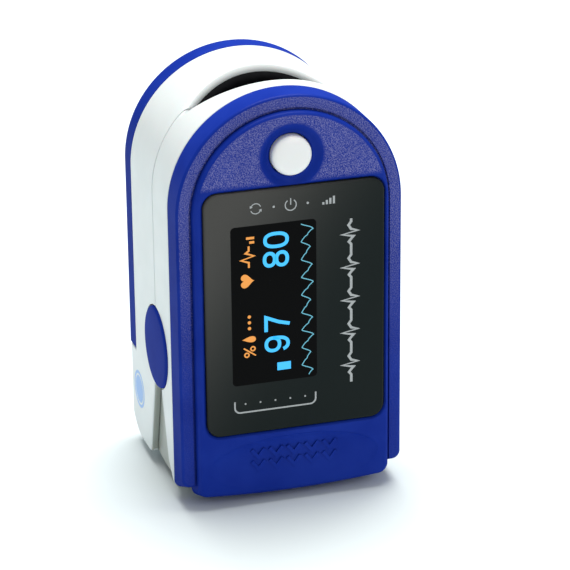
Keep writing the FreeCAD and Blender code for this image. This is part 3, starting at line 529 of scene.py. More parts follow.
def circuit_board():
    """Green solder mask over copper tracks and pads."""
    finish = Finish("solder_mask_green", (0.01, 0.12, 0.03), 0.28, Coat_Weight=0.4)
    turn = finish.node("ShaderNodeMapping", {"Vector": finish.place, "Rotation": [math.pi / 2, 0, 0]})
    track = finish.node("ShaderNodeTexBrick", {
        "Vector": turn.outputs[0], "Scale": 1 / (5.2 * MM), "Mortar Size": 0.035, "Bias": 0.0,
        "Brick Width": 0.9, "Row Height": 0.14}, offset=0.37).outputs["Fac"]
    pads = finish.ramp(finish.cells(2.4), 0.20, 0.17)
    color = finish.blend_colors(track, (0.008, 0.10, 0.03), (0.02, 0.20, 0.06))
    finish.tint(pads, color, (0.62, 0.42, 0.14))
    finish.set("Metallic", finish.product(pads, 0.9))
    return finish.bump(finish.math("MAXIMUM", track, pads), 0.03, 0.6)


def molded(name, color, roughness, cell=0.3, depth=0.01):
    """Plain moulded matter: epoxy, ceramic, nylon or foam, with its own grain size."""
    finish = Finish(name, color, roughness)
    grain = finish.noise(cell, 4, 0.6)
    finish.mottle(grain, tuple(c * 0.8 for c in color), color)
    finish.vary_roughness(grain, roughness * 0.85, min(roughness * 1.15, 1))
    return finish.bump(grain, depth)


def flex_film():
    """Amber polyimide with copper tracks along it."""
    finish = Finish("polyimide_amber", (0.45, 0.16, 0.02), 0.3, Coat_Weight=0.3)
    pitch = 0.5 * MM
    wave = finish.math("SINE", finish.product(finish.axes()[0], 2 * math.pi / pitch))
    track = finish.ramp(wave, 0.1, 0.4)
    finish.tint(track, (0.42, 0.15, 0.02), (0.70, 0.32, 0.08))
    return finish.bump(track, 0.02, 0.5)


def screen_cell():
    finish = Finish("oled_cell_glass", (0.01, 0.01, 0.014), 0.08, Coat_Weight=1.0)
    return finish.bump(finish.noise(3, 2), 0.001)


def clear_insert():
    finish = Finish("clear_red_insert", (0.55, 0.03, 0.03), 0.12, Transmission_Weight=0.65, IOR=1.49)
    haze = finish.noise(0.8, 3)
    finish.tint(haze, (0.45, 0.02, 0.02), (0.65, 0.06, 0.05))
    return finish.bump(haze, 0.002)


def cell_sleeve():
    """Printed sleeve of a battery cell, with plain coloured bands and bare metal ends."""
    finish = Finish("cell_sleeve_print", (0.02, 0.02, 0.02), 0.28, Coat_Weight=0.5)
    z = finish.axes()[2]
    low, high = (corner[2] for corner in mm_box("battery_left"))
    tall = high - low
    collar = finish.band(z, (low + tall * 0.66) * MM, (low + tall * 0.93) * MM, 0.1 * MM)
    stripe = finish.band(z, (low + tall * 0.61) * MM, (low + tall * 0.63) * MM, 0.05 * MM)
    sleeve = finish.band(z, (low + 0.9) * MM, (high - 1.7) * MM, 0.05 * MM)
    color = finish.blend_colors(collar, (0.02, 0.021, 0.024), (0.62, 0.30, 0.05))
    color = finish.blend_colors(stripe, color, (0.7, 0.7, 0.68))
    finish.tint(sleeve, (0.62, 0.62, 0.62), color)
    finish.set("Metallic", finish.ramp(sleeve, 0, 1, 1.0, 0.0))
    return finish.bump(finish.noise(1.2, 3), 0.004)


BLUE_FRONT = blue_plastic("blue_satin_grain_and_painted_glints", True)
BLUE_DOOR = blue_plastic("blue_satin", False)
WHITE = white_plastic("white_abs")
# White plastic coloured grey as painted shade, for the shaded inner walls of the tail's V gap.
SHADED = white_plastic("white_abs_painted_shade", (0.37, 0.40, 0.365))
BUTTON_WHITE = white_plastic("white_button", (0.86, 0.86, 0.86))
LENS = lens_glass()
INK = ink("grey_ink", (0.42, 0.44, 0.45))
MARK_INK = ink("pale_mark", (0.28, 0.48, 0.86))
CYAN = glow("screen_cyan", (0.03, 0.42, 0.85), 1.25)
THIN_CYAN = glow("screen_pale_cyan", (0.13, 0.48, 0.62), 0.85)
ORANGE = glow("screen_orange", (0.78, 0.30, 0.045), 1.0)
SILICONE = silicone()

SLOT_MATERIALS = {
    "blue_shell": BLUE_DOOR, "white_shell": WHITE, "lens_black": LENS, "button_white": BUTTON_WHITE,
    "silicone_black": SILICONE,
    "steel": metal("steel_plated", (0.62, 0.62, 0.62), 0.26, [0.1, 1, 1]),
    "spring_steel": metal("steel_spring", (0.50, 0.49, 0.47), 0.34, [1, 1, 1]),
    "board_green": circuit_board(),
    "chip_black": molded("chip_epoxy", (0.022, 0.022, 0.024), 0.55, 0.12, 0.006),
    "ceramic": molded("ceramic_tan", (0.42, 0.32, 0.22), 0.4, 0.2, 0.004),
    "oled_glass": screen_cell(),
    "foam": molded("foam_tape", (0.03, 0.03, 0.03), 0.95, 0.18, 0.06),
    "flex_amber": flex_film(),
    "connector_white": molded("connector_nylon", (0.72, 0.69, 0.60), 0.45, 0.5, 0.004),
    "clear_window": clear_insert(),
    "cell_sleeve": cell_sleeve(),
}


# ---------------------------------------------------------------- shared cutters

def channel_ring(height_of, front_flare, back_flare):
    """One ring of the finger channel's cutter: two arcs that meet in corners."""
    front_center, back_center = CHANNEL_FRONT + CHANNEL_RADIUS, CHANNEL_BACK - CHANNEL_RADIUS
    front_radius, back_radius = CHANNEL_RADIUS + front_flare, CHANNEL_RADIUS + back_flare
    gap = (back_radius ** 2 - front_radius ** 2 - back_center ** 2 + front_center ** 2)
    meet = gap / (2 * (front_center - back_center))
    half = math.sqrt(front_radius ** 2 - (meet - front_center) ** 2)
    steps = 40
    ring = []
    for side, center, radius in ((1, front_center, front_radius), (-1, back_center, back_radius)):
        for i in range(steps):
            x = side * half * math.cos(math.pi * i / steps)
            ring.append((x, center - side * math.sqrt(radius ** 2 - x * x), height_of(x)))
    return ring


def finger_channel(front_lip, back_lip):
    """The channel, with the two lips at its mouth rounded."""
    deepest = max(front_lip, back_lip)
    rings = [channel_ring(lambda x: CHANNEL_END, 0, 0)]
    levels = [deepest * i / 8 for i in range(9)]
    for level in levels:
        radius = HALF - deepest + level

        def height(x, radius=radius):
            return ARCH + math.sqrt(max(radius ** 2 - x * x, 0.01))
        flares = []
        for lip in (front_lip, back_lip):
            up = min(max(level - deepest + lip, 0), lip)
            flares.append(lip - math.sqrt(max(lip ** 2 - up ** 2, 0)))
        rings.append(channel_ring(height, *flares))
    rings.append(channel_ring(lambda x: COVER_HIGH[2] + 3, front_lip, back_lip))
    return skin("finger_channel", rings)


def side_cutter(name, outline, rounding):
    """Cuts across the whole width, and rounds the edges that it leaves at both sides."""
    pairs = [(HALF - rounding + travel, inset) for travel, inset in quarter(rounding, 6)]
    pairs.append((HALF + 1, rounding))
    rings = [at_x(grown(outline, inset), -x) for x, inset in reversed(pairs)]
    rings += [at_x(grown(outline, inset), x) for x, inset in pairs]
    return skin(name, rings)


def span(side, inside, outside):
    return sorted((inside * side, outside * side))


def both_sides(name, outline, inside, outside):
    return [prism_x(name, outline, *span(side, inside, outside)) for side in SIDES]


def at_hinge(radius):
    return circle(PIVOT_Y, PIVOT_Z, radius, 72)


# ---------------------------------------------------------------- front cover

def band_rings():
    """The outer band, whose front edge and foot are rounded."""
    rings = []
    for y, inset in stations(COVER_BACK, 0.12, BAND_FRONT, 0.5, 6):
        lift = climb(y, COVER_BACK, BAND_FRONT, BAND_RISE)
        rings.append(at_y(arch(HALF - inset, CASE_FOOT + lift + inset * 0.7, FOOT_CORNER - inset), y))
    return rings


def panel_rings():
    """The raised panel and its tongue."""
    back = PANEL_FRONT + 4.4
    return [at_y(panel_outline(inset, inset * 0.7 + climb(y, back, PANEL_FRONT, TONGUE_RISE)), y)
            for y, inset in stations(back, 0.3, PANEL_FRONT, 0.7, 8)]


def thumb_scoop():
    """Shallow scoop under the display: crisp along its upper edge, and it fades out below."""
    middle_z, wide, tall, depth = 6.1, 12.4, 4.0, 0.75
    steps = 72
    rings = [at_y(loop(0, middle_z, wide, tall, steps=steps), PANEL_FRONT - 1)]
    for scale in (1.0, 0.985, 0.95, 0.9, 0.8, 0.65, 0.5, 0.35, 0.2, 0.08):
        ring = []
        for a in angles(steps):
            up = scale * math.sin(a)
            sink = depth * math.sqrt(1 - scale * scale) * (0.5 + 0.5 * up)
            ring.append((wide * scale * math.cos(a), PANEL_FRONT + sink, middle_z + tall * up))
        rings.append(ring)
    return skin("thumb_scoop", rings)


def stroke(name, path, width, front, back, closed=False):
    """A flat line of constant width along a path in the X-Z plane."""
    rings = []
    count = len(path)
    for i, here in enumerate(path):
        before = path[i - 1] if closed or i else here
        after = path[(i + 1) % count] if closed or i < count - 1 else here
        a = Vector((here[0] - before[0], here[1] - before[1]))
        b = Vector((after[0] - here[0], after[1] - here[1]))
        a, b = (a if a.length else b).normalized(), (b if b.length else a).normalized()
        along = (a + b).normalized()
        reach = width / 2 / max(along.dot(a), 0.5)
        side = Vector((-along.y, along.x)) * reach
        edges = [(here[0] + side.x, here[1] + side.y), (here[0] - side.x, here[1] - side.y)]
        rings.append(at_y(edges, front) + at_y(edges[::-1], back))
    return skin(name, rings, closed)


def lens_outline(grow):
    return round_box(LENS_X, LENS_Z, LENS_WIDE + 2 * grow, LENS_TALL + 2 * grow, 2.0 + grow)


def make_front_cover():
    cover = skin("front_cover_bezel", band_rings())
    cut(cover, prism_y("groove", arch(PANEL_HALF + GROOVE, -3), PANEL_FRONT - 1, BAND_FRONT + 0.4))
    add(cover, skin("panel", panel_rings()))
    inner = arch(HALF - WALL, CASE_FOOT + WALL, FOOT_CORNER - 1)
    cut(cover, prism_y("hollow", inner, COVER_INSIDE, COVER_BACK + 1))
    gap, chamfer = 0.15, 0.28
    seat = [(chamfer, PANEL_FRONT - 1), (chamfer, PANEL_FRONT), (0.1, PANEL_FRONT + 0.14),
            (0, PANEL_FRONT + 0.3), (0, LENS_BACK + gap)]
    cut(cover, skin("lens_seat", [at_y(lens_outline(gap + grow), y) for grow, y in seat]))
    cut(cover, prism_y("screen_window", round_box(-2.8, 30, 13.2, 24.2, 1), PANEL_FRONT, COVER_INSIDE + 1))
    dish_radius, dish_slope, dish_deep = 4.6, 1.35, 0.7
    dish = [(dish_radius, PANEL_FRONT - 1), (dish_radius, PANEL_FRONT - 0.01)]
    for i in range(1, 9):
        t = i / 8
        dish.append((dish_radius - dish_slope * t,
                     PANEL_FRONT + dish_deep * (0.5 - 0.5 * math.cos(math.pi * t))))
    cut(cover, lathe_y("dish", BUTTON_X, BUTTON_Z, dish))
    wide, narrow = BUTTON_RADIUS + 0.32, BUTTON_RADIUS + 0.15
    cut(cover, lathe_y("button_hole", BUTTON_X, BUTTON_Z,
                       [(wide, PANEL_FRONT), (wide, PANEL_FRONT + dish_deep),
                        (narrow, PANEL_FRONT + dish_deep + 0.15), (narrow, COVER_INSIDE + 1)]))
    cut(cover, thumb_scoop())
    for i in range(5):
        middle = (i - 2) * 2.6
        path = [(middle - 0.95, 8.3), (middle, 7.1), (middle + 0.95, 8.3)]
        lower = [(x, z - 1.75) for x, z in path]
        add(cover, stroke("chevron", path, 0.5, PANEL_FRONT + 0.22, PANEL_FRONT + 1),
            stroke("chevron", lower, 0.5, PANEL_FRONT + 0.16, PANEL_FRONT + 1))
    boss, bore = 1.45, 0.72
    for x, z in SCREW_PLACES:
        add(cover, lathe_y("boss", x, z, [(boss, COVER_INSIDE - 0.3), (boss, COVER_BACK)], 32))
        cut(cover, lathe_y("boss_hole", x, z, [(bore, COVER_INSIDE + 0.5), (bore, COVER_BACK + 1)], 24))
    dress(cover, "front_half", BLUE_FRONT, ["front_cover"], 28)


def make_lens():
    rings = [at_y(lens_outline(-inset), y) for y, inset in stations(LENS_BACK, 0.1, LENS_FRONT, 0.4, 5)]
    dress(skin("display_window", rings), "front_half", LENS, ["display_lens"])


def make_button():
    top, base = BUTTON_LOW[1], COVER_INSIDE + 0.05
    dome = [(0.3, 0), (1.2, 0.015), (1.8, 0.05), (2.2, 0.12), (2.5, 0.24), (2.68, 0.4), (2.79, 0.62),
            (BUTTON_RADIUS, 0.9)]
    flange = [(BUTTON_RADIUS, 0), (3.5, 0), (3.6, 0.08), (3.6, 0.3), (0.9, 0.3)]
    profile = [(radius, top + y) for radius, y in dome] + [(radius, base + y) for radius, y in flange]
    button = lathe_y("button_cap", BUTTON_X, BUTTON_Z, profile + [(0.9, BUTTON_HIGH[1])], 80)
    dress(button, "power_button", BUTTON_WHITE, ["power_button"])


# ---------------------------------------------------------------- white halves

def make_front_shell():
    back = PARTING - PARTING_GAP / 2
    shell = skin("front_half_shell", [at_y(arch(HALF - inset, CASE_FOOT + inset, FOOT_CORNER - inset), y)
                                      for y, inset in stations(COVER_BACK, 0.12, back, 0.18, 4)])
    drop = PIVOT_Z - 4.7
    heel = PIVOT_Y - drop * math.tan(math.radians(FRONT_TAIL_ANGLE))
    tail = [(PIVOT_Y, PIVOT_Z), (heel, PIVOT_Z - drop), (COVER_BACK, CASE_FOOT),
            (COVER_BACK, -2), (3, -2), (3, PIVOT_Z)]
    bay_low, bay_high = CASE_FOOT + WALL, 24.5
    hinge_bay = round_box(0, (bay_low + bay_high) / 2, 2 * SKIRT_INSIDE, bay_high - bay_low, 0.6)
    cut(shell, side_cutter("tail", tail, 0.35),
        prism_y("board_space", arch(HALF - WALL, bay_low, 1), COVER_BACK - 1, DECK_FRONT),
        prism_y("hinge_bay", hinge_bay, DECK_BACK, back + 1), finger_channel(FRONT_LIP, BACK_LIP))
    seat = DECK_BACK - HEAD_DEEP
    for x, z in SCREW_PLACES:
        cut(shell, lathe_y("screw_seat", x, z, [(SCREW_BORE, COVER_BACK - 0.3), (SCREW_BORE, seat),
                                                (SCREW_HEAD, seat), (SCREW_HEAD, back + 1)], 32))
    cut(shell,
        prism_y("emitter_seat", round_box(0, SENSOR_Z, 7.2, 6.2, 0.3), DECK_FRONT, CHANNEL_FRONT + 0.6),
        prism_y("ribbon_way", round_box(0, 9.6, 3.6, 2, 0.2), DECK_FRONT - 0.4, DECK_BACK + 0.4))
    for node in ("closing_spring_left", "closing_spring_right"):
        left = mm_box(node)[0][0] - 0.05
        groove = box_outline(left, PIVOT_Z - 2.35, left + 1.3, PIVOT_Z + 1.45)
        cut(shell, prism_y("leg_groove", groove, DECK_BACK - 0.36, DECK_BACK + 0.1))
    # The skirts are white plastic given the grey painted-shade material, standing for the shade between the
    # halves.
    for side, name in zip(SIDES, ("left", "right")):
        skirt = prism_x(f"tail_skirt_{name}", fan(SKIRT_RADIUS, -20, 18),
                        *span(side, SKIRT_INSIDE, SKIRT_OUTSIDE - 0.03))
        dress(skirt, "front_half", SHADED)
    add(shell, *both_sides("ear", at_hinge(HUB_RADIUS - 0.2), SKIRT_INSIDE, SKIRT_OUTSIDE - 0.02))
    cut(shell, *both_sides("cap_seat", at_hinge(HUB_RADIUS), SKIRT_OUTSIDE, HALF + 1))
    pin_hole = circle(PIVOT_Y, PIVOT_Z, 1.05, 32)
    cut(shell, *both_sides("pin_hole", pin_hole, SKIRT_INSIDE - 0.5, SKIRT_OUTSIDE + 0.5))
    dress(shell, "front_half", WHITE, ["front_shell"])


def make_rear_shell():
    front = PARTING + PARTING_GAP / 2
    shell = skin("rear_half_shell", [at_y(arch(HALF - inset, TAIL_FOOT), y)
                                     for y, inset in reversed(stations(DOOR_FRONT, 0.12, front, 0.18, 4))])
    hood_top = DOOR_LOW[2] - 0.2
    hood = round_box(0, BACK - 4, 2 * HALF, 8, 1.6)
    hood_cut = [(x, y) for x, y in hood if y > BACK - 4]
    hood_loop = [(HALF, DOOR_FRONT - 1.2)] + hood_cut + [(-HALF, DOOR_FRONT - 1.2)]
    hood_rim = [(x * 0.992, y - 0.15 * (y > DOOR_FRONT)) for x, y in hood_loop]
    add(shell, skin("hood", [at_z(hood_loop, TAIL_FOOT), at_z(hood_loop, hood_top - 0.15),
                             at_z(hood_rim, hood_top)]))
    slope = math.tan(math.radians(REAR_TAIL_ANGLE))
    tip = TAIL_FOOT + 0.7
    toe = PIVOT_Y + (PIVOT_Z - tip) * slope
    rounding = 6.0
    tail = [(PIVOT_Y, PIVOT_Z), (-4, PIVOT_Z), (-4, -2), (18, -2), (18, TAIL_FOOT + rounding)]
    tail += [(y, z) for y, z in arc(BACK - rounding, TAIL_FOOT + rounding, rounding, 0, -90, 16)]
    tail += [(toe + 1.2, TAIL_FOOT), (toe + 0.4, TAIL_FOOT + 0.2), (toe, tip)]
    cut(shell, side_cutter("tail", tail, 0.4))
    bay_low = 5
    battery_bay = round_box(0, (bay_low + BAY_TOP) / 2, 2 * BAY_HALF, BAY_TOP - bay_low, 0.8)
    bay_mouth = box_outline(-BAY_HALF, DOOR_LOW[2] - 0.2, BAY_HALF, BAY_TOP)
    cut(shell, prism_y("battery_bay", battery_bay, BAY_FLOOR, DOOR_INSIDE - 0.15),
        prism_y("bay_mouth", bay_mouth, DOOR_FRONT - 0.5, BACK + 1),
        prism_y("bay_foot", box_outline(-BAY_HALF, 4, BAY_HALF, 5.5), BAY_FLOOR, 11.7),
        prism_y("hinge_bay", box_outline(-EAR_INSIDE, 3, EAR_INSIDE, 24.5), front - 1, BAY_FLOOR - 1.4))
    for side in SIDES:
        cut(shell, prism_y("side_space", round_box(13.4 * side, 35, 2, 24, 0.5), 1, DOOR_FRONT + 1))
    cut(shell, *both_sides("skirt_slot", fan(SKIRT_RADIUS + 0.25, 4, 52), EAR_OUTSIDE, SKIRT_OUTSIDE + 0.08),
        *both_sides("cap_seat", at_hinge(HUB_RADIUS), EAR_OUTSIDE, HALF + 1))
    ear = ([(BAY_FLOOR, PIVOT_Z - EAR_RADIUS), (BAY_FLOOR, PIVOT_Z + EAR_RADIUS)]
           + arc(PIVOT_Y, PIVOT_Z, EAR_RADIUS, 90, 270, 32))
    add(shell, *both_sides("ear", ear, EAR_INSIDE, EAR_OUTSIDE))
    cut(shell, *both_sides("pin_hole", circle(PIVOT_Y, PIVOT_Z, 1.01, 32), EAR_INSIDE - 1, EAR_OUTSIDE + 1))
    cut(shell, finger_channel(FRONT_LIP, BACK_LIP))
    add(shell, prism_y("sensor_rib", round_box(0, SENSOR_Z, 4.6, 10, 0.4), BAY_FLOOR - 0.6, BAY_FLOOR + 1.1))
    cut(shell, prism_y("sensor_seat", round_box(0, SENSOR_Z, 3.9, 8, 0.2), -0.5, BAY_FLOOR + 0.9),
        prism_y("ribbon_way", box_outline(-1.6, 22.5, 1.6, 24.1), front, BAY_FLOOR + 0.3),
        prism_y("ribbon_slot", box_outline(-1.6, 22.5, 1.6, 33), BAY_FLOOR - 0.4, BAY_FLOOR + 0.01))
    for side in SIDES:
        left, right = span(side, 14.3, 15)
        for low in HOOK_HEIGHTS:
            cut(shell, prism_y("hook_ledge", box_outline(left, low - 0.3, right, low + 10.6),
                               HOOK_FRONT - 0.2, HOOK_FRONT + HOOK_THICK + 0.2),
                prism_y("hook_door", box_outline(left + 0.001, low + 5.7, right - 0.001, low + 10.59),
                        HOOK_FRONT, DOOR_FRONT + 1))
    eye_y, eye_z, way = 12.0, 5.2, 1.6
    cut(shell, prism_x("eye", circle(eye_y, eye_z, 1.0, 32), 14, HALF + 1),
        prism_y("cord_way", box_outline(12.3, -1, 14.3, eye_z + way), eye_y - way, eye_y + way))
    dress(shell, "rear_half", WHITE, ["rear_shell"])
    shade_throat(shell, front)


def shade_throat(shell, front):
    """The slanted edges of the tail below the caps get the grey painted-shade material, standing for the
    shade that falls on them.
    """
    # These faces are painted shade: white plastic coloured grey where shade falls in the gap.
    shell.data.materials.append(SHADED)
    for face in shell.data.polygons:
        x, y, z = (c / MM for c in face.center)
        below_cap = z < PIVOT_Z - CAP_RADIUS + 3 and front < y < BAY_FLOOR + 3
        if below_cap and face.normal.y < -0.6 and abs(x) > EAR_OUTSIDE:
            face.material_index = 1


def make_door():
    """The blue battery door, with a thumb rest and its slide-up arrow."""
    front, foot = DOOR_FRONT + 0.05, DOOR_LOW[2]
    door = skin("battery_cover", [at_y(arch(HALF - inset, foot + inset * 0.3), y)
                                  for y, inset in stations(front, 0.1, BACK, DOOR_ROUND, 8)])
    cut(door, prism_y("hollow", arch(HALF - 1.5, foot + 1.5), front - 1, DOOR_INSIDE),
        prism_y("cell_way", box_outline(-11.4, foot - 1, 11.4, foot + 3), front - 1, DOOR_INSIDE),
        prism_y("thumb_notch", round_box(0, foot - 0.2, 6, 2, 0.6), front - 1, BACK + 1))
    rest_z, wide, tall, depth = 21.5, 7.0, 3.6, 0.55
    rings = [at_y(loop(0, rest_z, wide, tall, steps=64), BACK + 1)]
    rings += [at_y(loop(0, rest_z, wide * scale, tall * scale, steps=64),
                   BACK - depth * math.sqrt(1 - scale ** 2))
              for scale in (1.0, 0.96, 0.88, 0.75, 0.55, 0.3, 0.1)]
    cut(door, skin("thumb_rest", rings))
    for i in range(5):
        z = rest_z + (i - 2) * 1.15
        half = wide * math.sqrt(1 - ((z - rest_z) / tall) ** 2) - 0.9
        add(door, prism_y("rib", round_box(0, z, 2 * half, 0.45, 0.2), BACK - 0.8, BACK - 0.12))
    arrow = [(0, 29.6), (-1.5, 27.6), (-0.5, 27.6), (-0.5, 26.4), (0.5, 26.4), (0.5, 27.6), (1.5, 27.6)]
    cut(door, prism_y("arrow", arrow, BACK - 0.25, BACK + 1))
    for side in SIDES:
        for low in HOOK_HEIGHTS:
            (leg_low, leg_high), (toe_low, toe_high) = span(side, 13.2, 14.2), span(side, 14.1, 14.8)
            add(door, prism_y("hook_leg", box_outline(leg_low, low, leg_high, low + HOOK_LONG),
                              HOOK_FRONT, DOOR_INSIDE + 0.2),
                prism_y("hook_toe", box_outline(toe_low, low + 0.01, toe_high, low + HOOK_LONG - 0.01),
                        HOOK_FRONT + 0.01, HOOK_FRONT + HOOK_THICK))
    dress(door, "battery_door", BLUE_DOOR, ["battery_door"])


def make_caps():
    inside, outside = CAP_LOW[0], CAP_HIGH[0]
    profile = [(0.5, inside + 0.57), (1.01, inside + 0.57), (1.01, inside),
               (CAP_RADIUS - 0.15, inside), (CAP_RADIUS, inside + 0.15)]
    crown = [(0, 0.55), (0.04, 0.4), (0.15, 0.27), (0.32, 0.18), (0.7, 0.12), (2.2, 0.04), (4.2, 0.005)]
    profile += [(CAP_RADIUS - inset, outside - sink) for inset, sink in crown] + [(0.5, outside)]
    for side, name in zip(SIDES, ("left", "right")):
        cap = lathe_x(f"hinge_button_{name}", PIVOT_Y, PIVOT_Z, [(r, x * side) for r, x in profile])
        dress(cap, "rear_half", BLUE_DOOR, [f"hinge_cap_{name}"])


def make_pad(name, node, apex, outward):
    """Soft finger pad: crowned, rounded off at its rim, with fine cross ribs and a window."""
    half, full = 10.5, 1.2
    rim, rib_height, rib_pitch = 1.1, 0.07, 1.6
    bottom, inner_half = mm_box(node)[0][2], HALF - BACK_LIP
    columns, rows = 56, 72
    outer, inner = [], []
    for j in range(rows + 1):
        for i in range(columns + 1):
            x = half * (2 * i / columns - 1)
            top = ARCH + math.sqrt(inner_half ** 2 - x * x)
            z = bottom + (top - bottom) * j / rows
            edge = min(half - abs(x), z - bottom, top - z)
            shoulder = min(max(edge, 0) / rim, 1)
            round_off = 0.35 + 0.65 * math.sqrt(1 - (1 - shoulder) ** 2)
            wave = max(0, math.cos(2 * math.pi * z / rib_pitch)) ** 2
            rib = rib_height * wave * min(max(edge - 1.2, 0) / 0.8, 1)
            wall = CHANNEL_RADIUS - math.sqrt(CHANNEL_RADIUS ** 2 - x * x)
            room = (CHANNEL_BACK - CHANNEL_FRONT) / 2 - wall - 0.1
            thick = min(full, room)
            base = apex - wall * outward
            outer.append((x, base, z))
            inner.append((x, base - (thick * round_off - min(rib, thick / 4)) * outward, z))
    def index(i, j, layer):
        return layer * (columns + 1) * (rows + 1) + j * (columns + 1) + i
    faces = []
    for j in range(rows):
        for i in range(columns):
            for layer in (0, 1):
                faces.append((index(i, j, layer), index(i + 1, j, layer),
                              index(i + 1, j + 1, layer), index(i, j + 1, layer)))
    for i in range(columns):
        for j in (0, rows):
            faces.append((index(i, j, 0), index(i + 1, j, 0), index(i + 1, j, 1), index(i, j, 1)))
    for j in range(rows):
        for i in (0, columns):
            faces.append((index(i, j, 0), index(i, j + 1, 0), index(i, j + 1, 1), index(i, j, 1)))
    pad = new_object(name, outer + inner, faces)
    cut(pad, prism_y("window_hole", round_box(0, SENSOR_Z, 6.2, 5.2, 0.8), -BACK, BACK))
    body = "front_half" if outward < 0 else "rear_half"
    dress(pad, body, SILICONE, [node], 45)


# ---------------------------------------------------------------- screen and print

PRINT_BACK = LENS_FRONT + 0.05
PRINT_FRONT = LENS_FRONT - 0.012


def line(path, width, closed=False):
    return stroke("line", path, width, PRINT_FRONT, PRINT_BACK, closed)


def shape(outline):
    return prism_y("shape", outline, PRINT_FRONT, PRINT_BACK)


def turned(path, base, start):
    """Maps (along, up) of text that reads from the tail to the finger end onto (x, z)."""
    return [(base - up, start + along) for along, up in path]


def digit(which, base, start, w, h, width):
    """Numerals of plain strokes."""
    r = width / 2
    paths = {
        "0": [(loop(w / 2, h / 2, w / 2 - r, h / 2 - r, power=0.8), True)],
        "8": [(loop(w / 2, h * 0.28, w / 2 - r, h * 0.28 - r, power=0.9), True),
              (loop(w / 2, h * 0.76, w / 2 - r * 1.15, h * 0.24 - r * 0.6, power=0.9), True)],
        "9": [(loop(w / 2, h * 0.67, w / 2 - r, h * 0.33 - r, power=0.9), True),
              ([(w - r, h * 0.66)] + loop(w / 2, h * 0.5, w / 2 - r, h / 2 - r, 0, -150, 24, 0.85), False)],
        "7": [([(0, h - r), (w - r, h - r), (w * 0.55, h * 0.42), (w * 0.38, 0)], False)],
    }
    return [line(turned(path, base, start), width, closed) for path, closed in paths[which]]


def pulse(t):
    """One beat of a pulse wave: a quick rise, a slow fall and a notch."""
    t = t % 1
    if t < 0.34:
        return math.sin(t / 0.34 * math.pi / 2) ** 1.4
    fall = (t - 0.34) / 0.66
    return (1 - fall) ** 1.1 * 0.92 + 0.09 * math.exp(-((fall - 0.45) / 0.1) ** 2)


def make_screen():
    wide, tall, width = 2.35, 3.62, 0.5
    base = -0.62
    digits = []
    for which, middle in (("8", 36.42), ("0", 39.18), ("9", 24.0), ("7", 27.1)):
        digits += digit(which, base, middle - wide / 2, wide, tall, width)
    digits.append(shape(box_outline(-2.45, 20.05, -0.5, 21.2)))
    dress(merge("screen_digits", digits), "front_half", CYAN)
    beats, low, high = 8.6, SCREEN_LOW + 0.4, SCREEN_HIGH - 0.55
    steps = 260
    trace = []
    for i in range(steps + 1):
        beat = beats * i / steps
        swing = 1.75 * pulse(beat) * (0.86 + 0.14 * math.cos(2.1 * beat))
        trace.append((1.12 + swing, high - (high - low) * i / steps))
    dress(line(trace, 0.13), "front_half", THIN_CYAN).name = "screen_trace"
    labels = []
    heart = []
    for t in angles(40):
        up = 13 * math.cos(t) - 5 * math.cos(2 * t) - 2 * math.cos(3 * t) - math.cos(4 * t)
        heart.append((16 * math.sin(t) ** 3 * 0.062, (up + 17) * 0.066))
    labels.append(shape(turned(heart, -5.55, 33.7)))
    beat = [(0, 0.8), (0.75, 0.8), (1.15, 1.9), (1.65, 0.05), (2.1, 1.25), (2.45, 0.8), (3.1, 0.8)]
    labels.append(line(turned(beat, -5.5, 35.6), 0.27))
    for i, up in enumerate((0.7, 1.15)):
        labels.append(shape(box_outline(-5.5 - up, 39.05 + 0.62 * i, -5.5, 39.4 + 0.62 * i)))
    for along, up in ((0.42, 1.32), (1.28, 0.45)):
        labels.append(line(turned(loop(along, up, 0.3, 0.3, steps=20), -5.45, 22.45), 0.2, True))
    labels.append(line(turned([(0.25, 0.05), (1.45, 1.75)], -5.45, 22.45), 0.2))
    drop = [(0.85 + 0.62 * math.sin(a) * math.sin(a / 2) ** 1.4, 1.95 - 0.97 * (1 - math.cos(a)))
            for a in angles(32)]
    labels.append(shape(turned(drop, -5.45, 24.3)))
    labels += [shape(circle(-6.35, 26.75 + 0.85 * i, 0.24, 16)) for i in range(3)]
    dress(merge("screen_labels", labels), "front_half", ORANGE)


def make_lens_print():
    marks = []
    row = 43.95
    for start in (20, 200):
        path = arc(-5.23, row, 0.72, start, start + 130, 16)
        marks.append(line(path, 0.13))
        tip = Vector(path[-1])
        ahead = (tip - Vector(path[-2])).normalized()
        side = Vector((-ahead.y, ahead.x))
        marks.append(shape([tuple(tip + ahead * 0.34), tuple(tip + side * 0.24), tuple(tip - side * 0.24)]))
    marks += [shape(circle(x, row, 0.17, 16)) for x in (-2.7, 2.09)]
    marks.append(line(arc(-0.31, row, 0.78, -235, 55, 28), 0.15))
    marks.append(line([(-0.31, row + 0.02), (-0.31, row + 0.95)], 0.15))
    for i, tall in enumerate((0.35, 0.6, 0.85, 1.1)):
        x = 4.15 + 0.5 * i
        marks.append(shape(box_outline(x, row - 0.5, x + 0.3, row - 0.5 + tall)))
    left, right, floor, corner = -8.6, 3.05, 14.4, 0.8
    path = ([(left, floor + 1.7)] + arc(left + corner, floor + corner, corner, 180, 270, 8)
            + arc(right - corner, floor + corner, corner, 270, 360, 8) + [(right, floor + 1.7)])
    marks.append(line(path, 0.22))
    middle = (left + right) / 2
    marks += [shape(circle(middle + (i - 2) * 2.15, floor + 1.25, 0.13, 14)) for i in range(5)]
    low, high, middle = 16.9, 41.0, 8.25
    beats = 5
    beat = [(1.1, 0), (1.5, 0.32), (1.9, 0), (2.25, -0.35), (2.6, 1.3),
            (3.0, -0.95), (3.3, 0), (3.9, 0.38), (4.4, 0)]
    trace = [(middle, low)]
    for i in range(beats):
        start = low + (high - low) * i / beats
        trace += [(middle - up, start + along) for along, up in beat]
    trace.append((middle, high))
    marks.append(line(trace, 0.36))
    dress(merge("lens_print", marks), "front_half", INK)


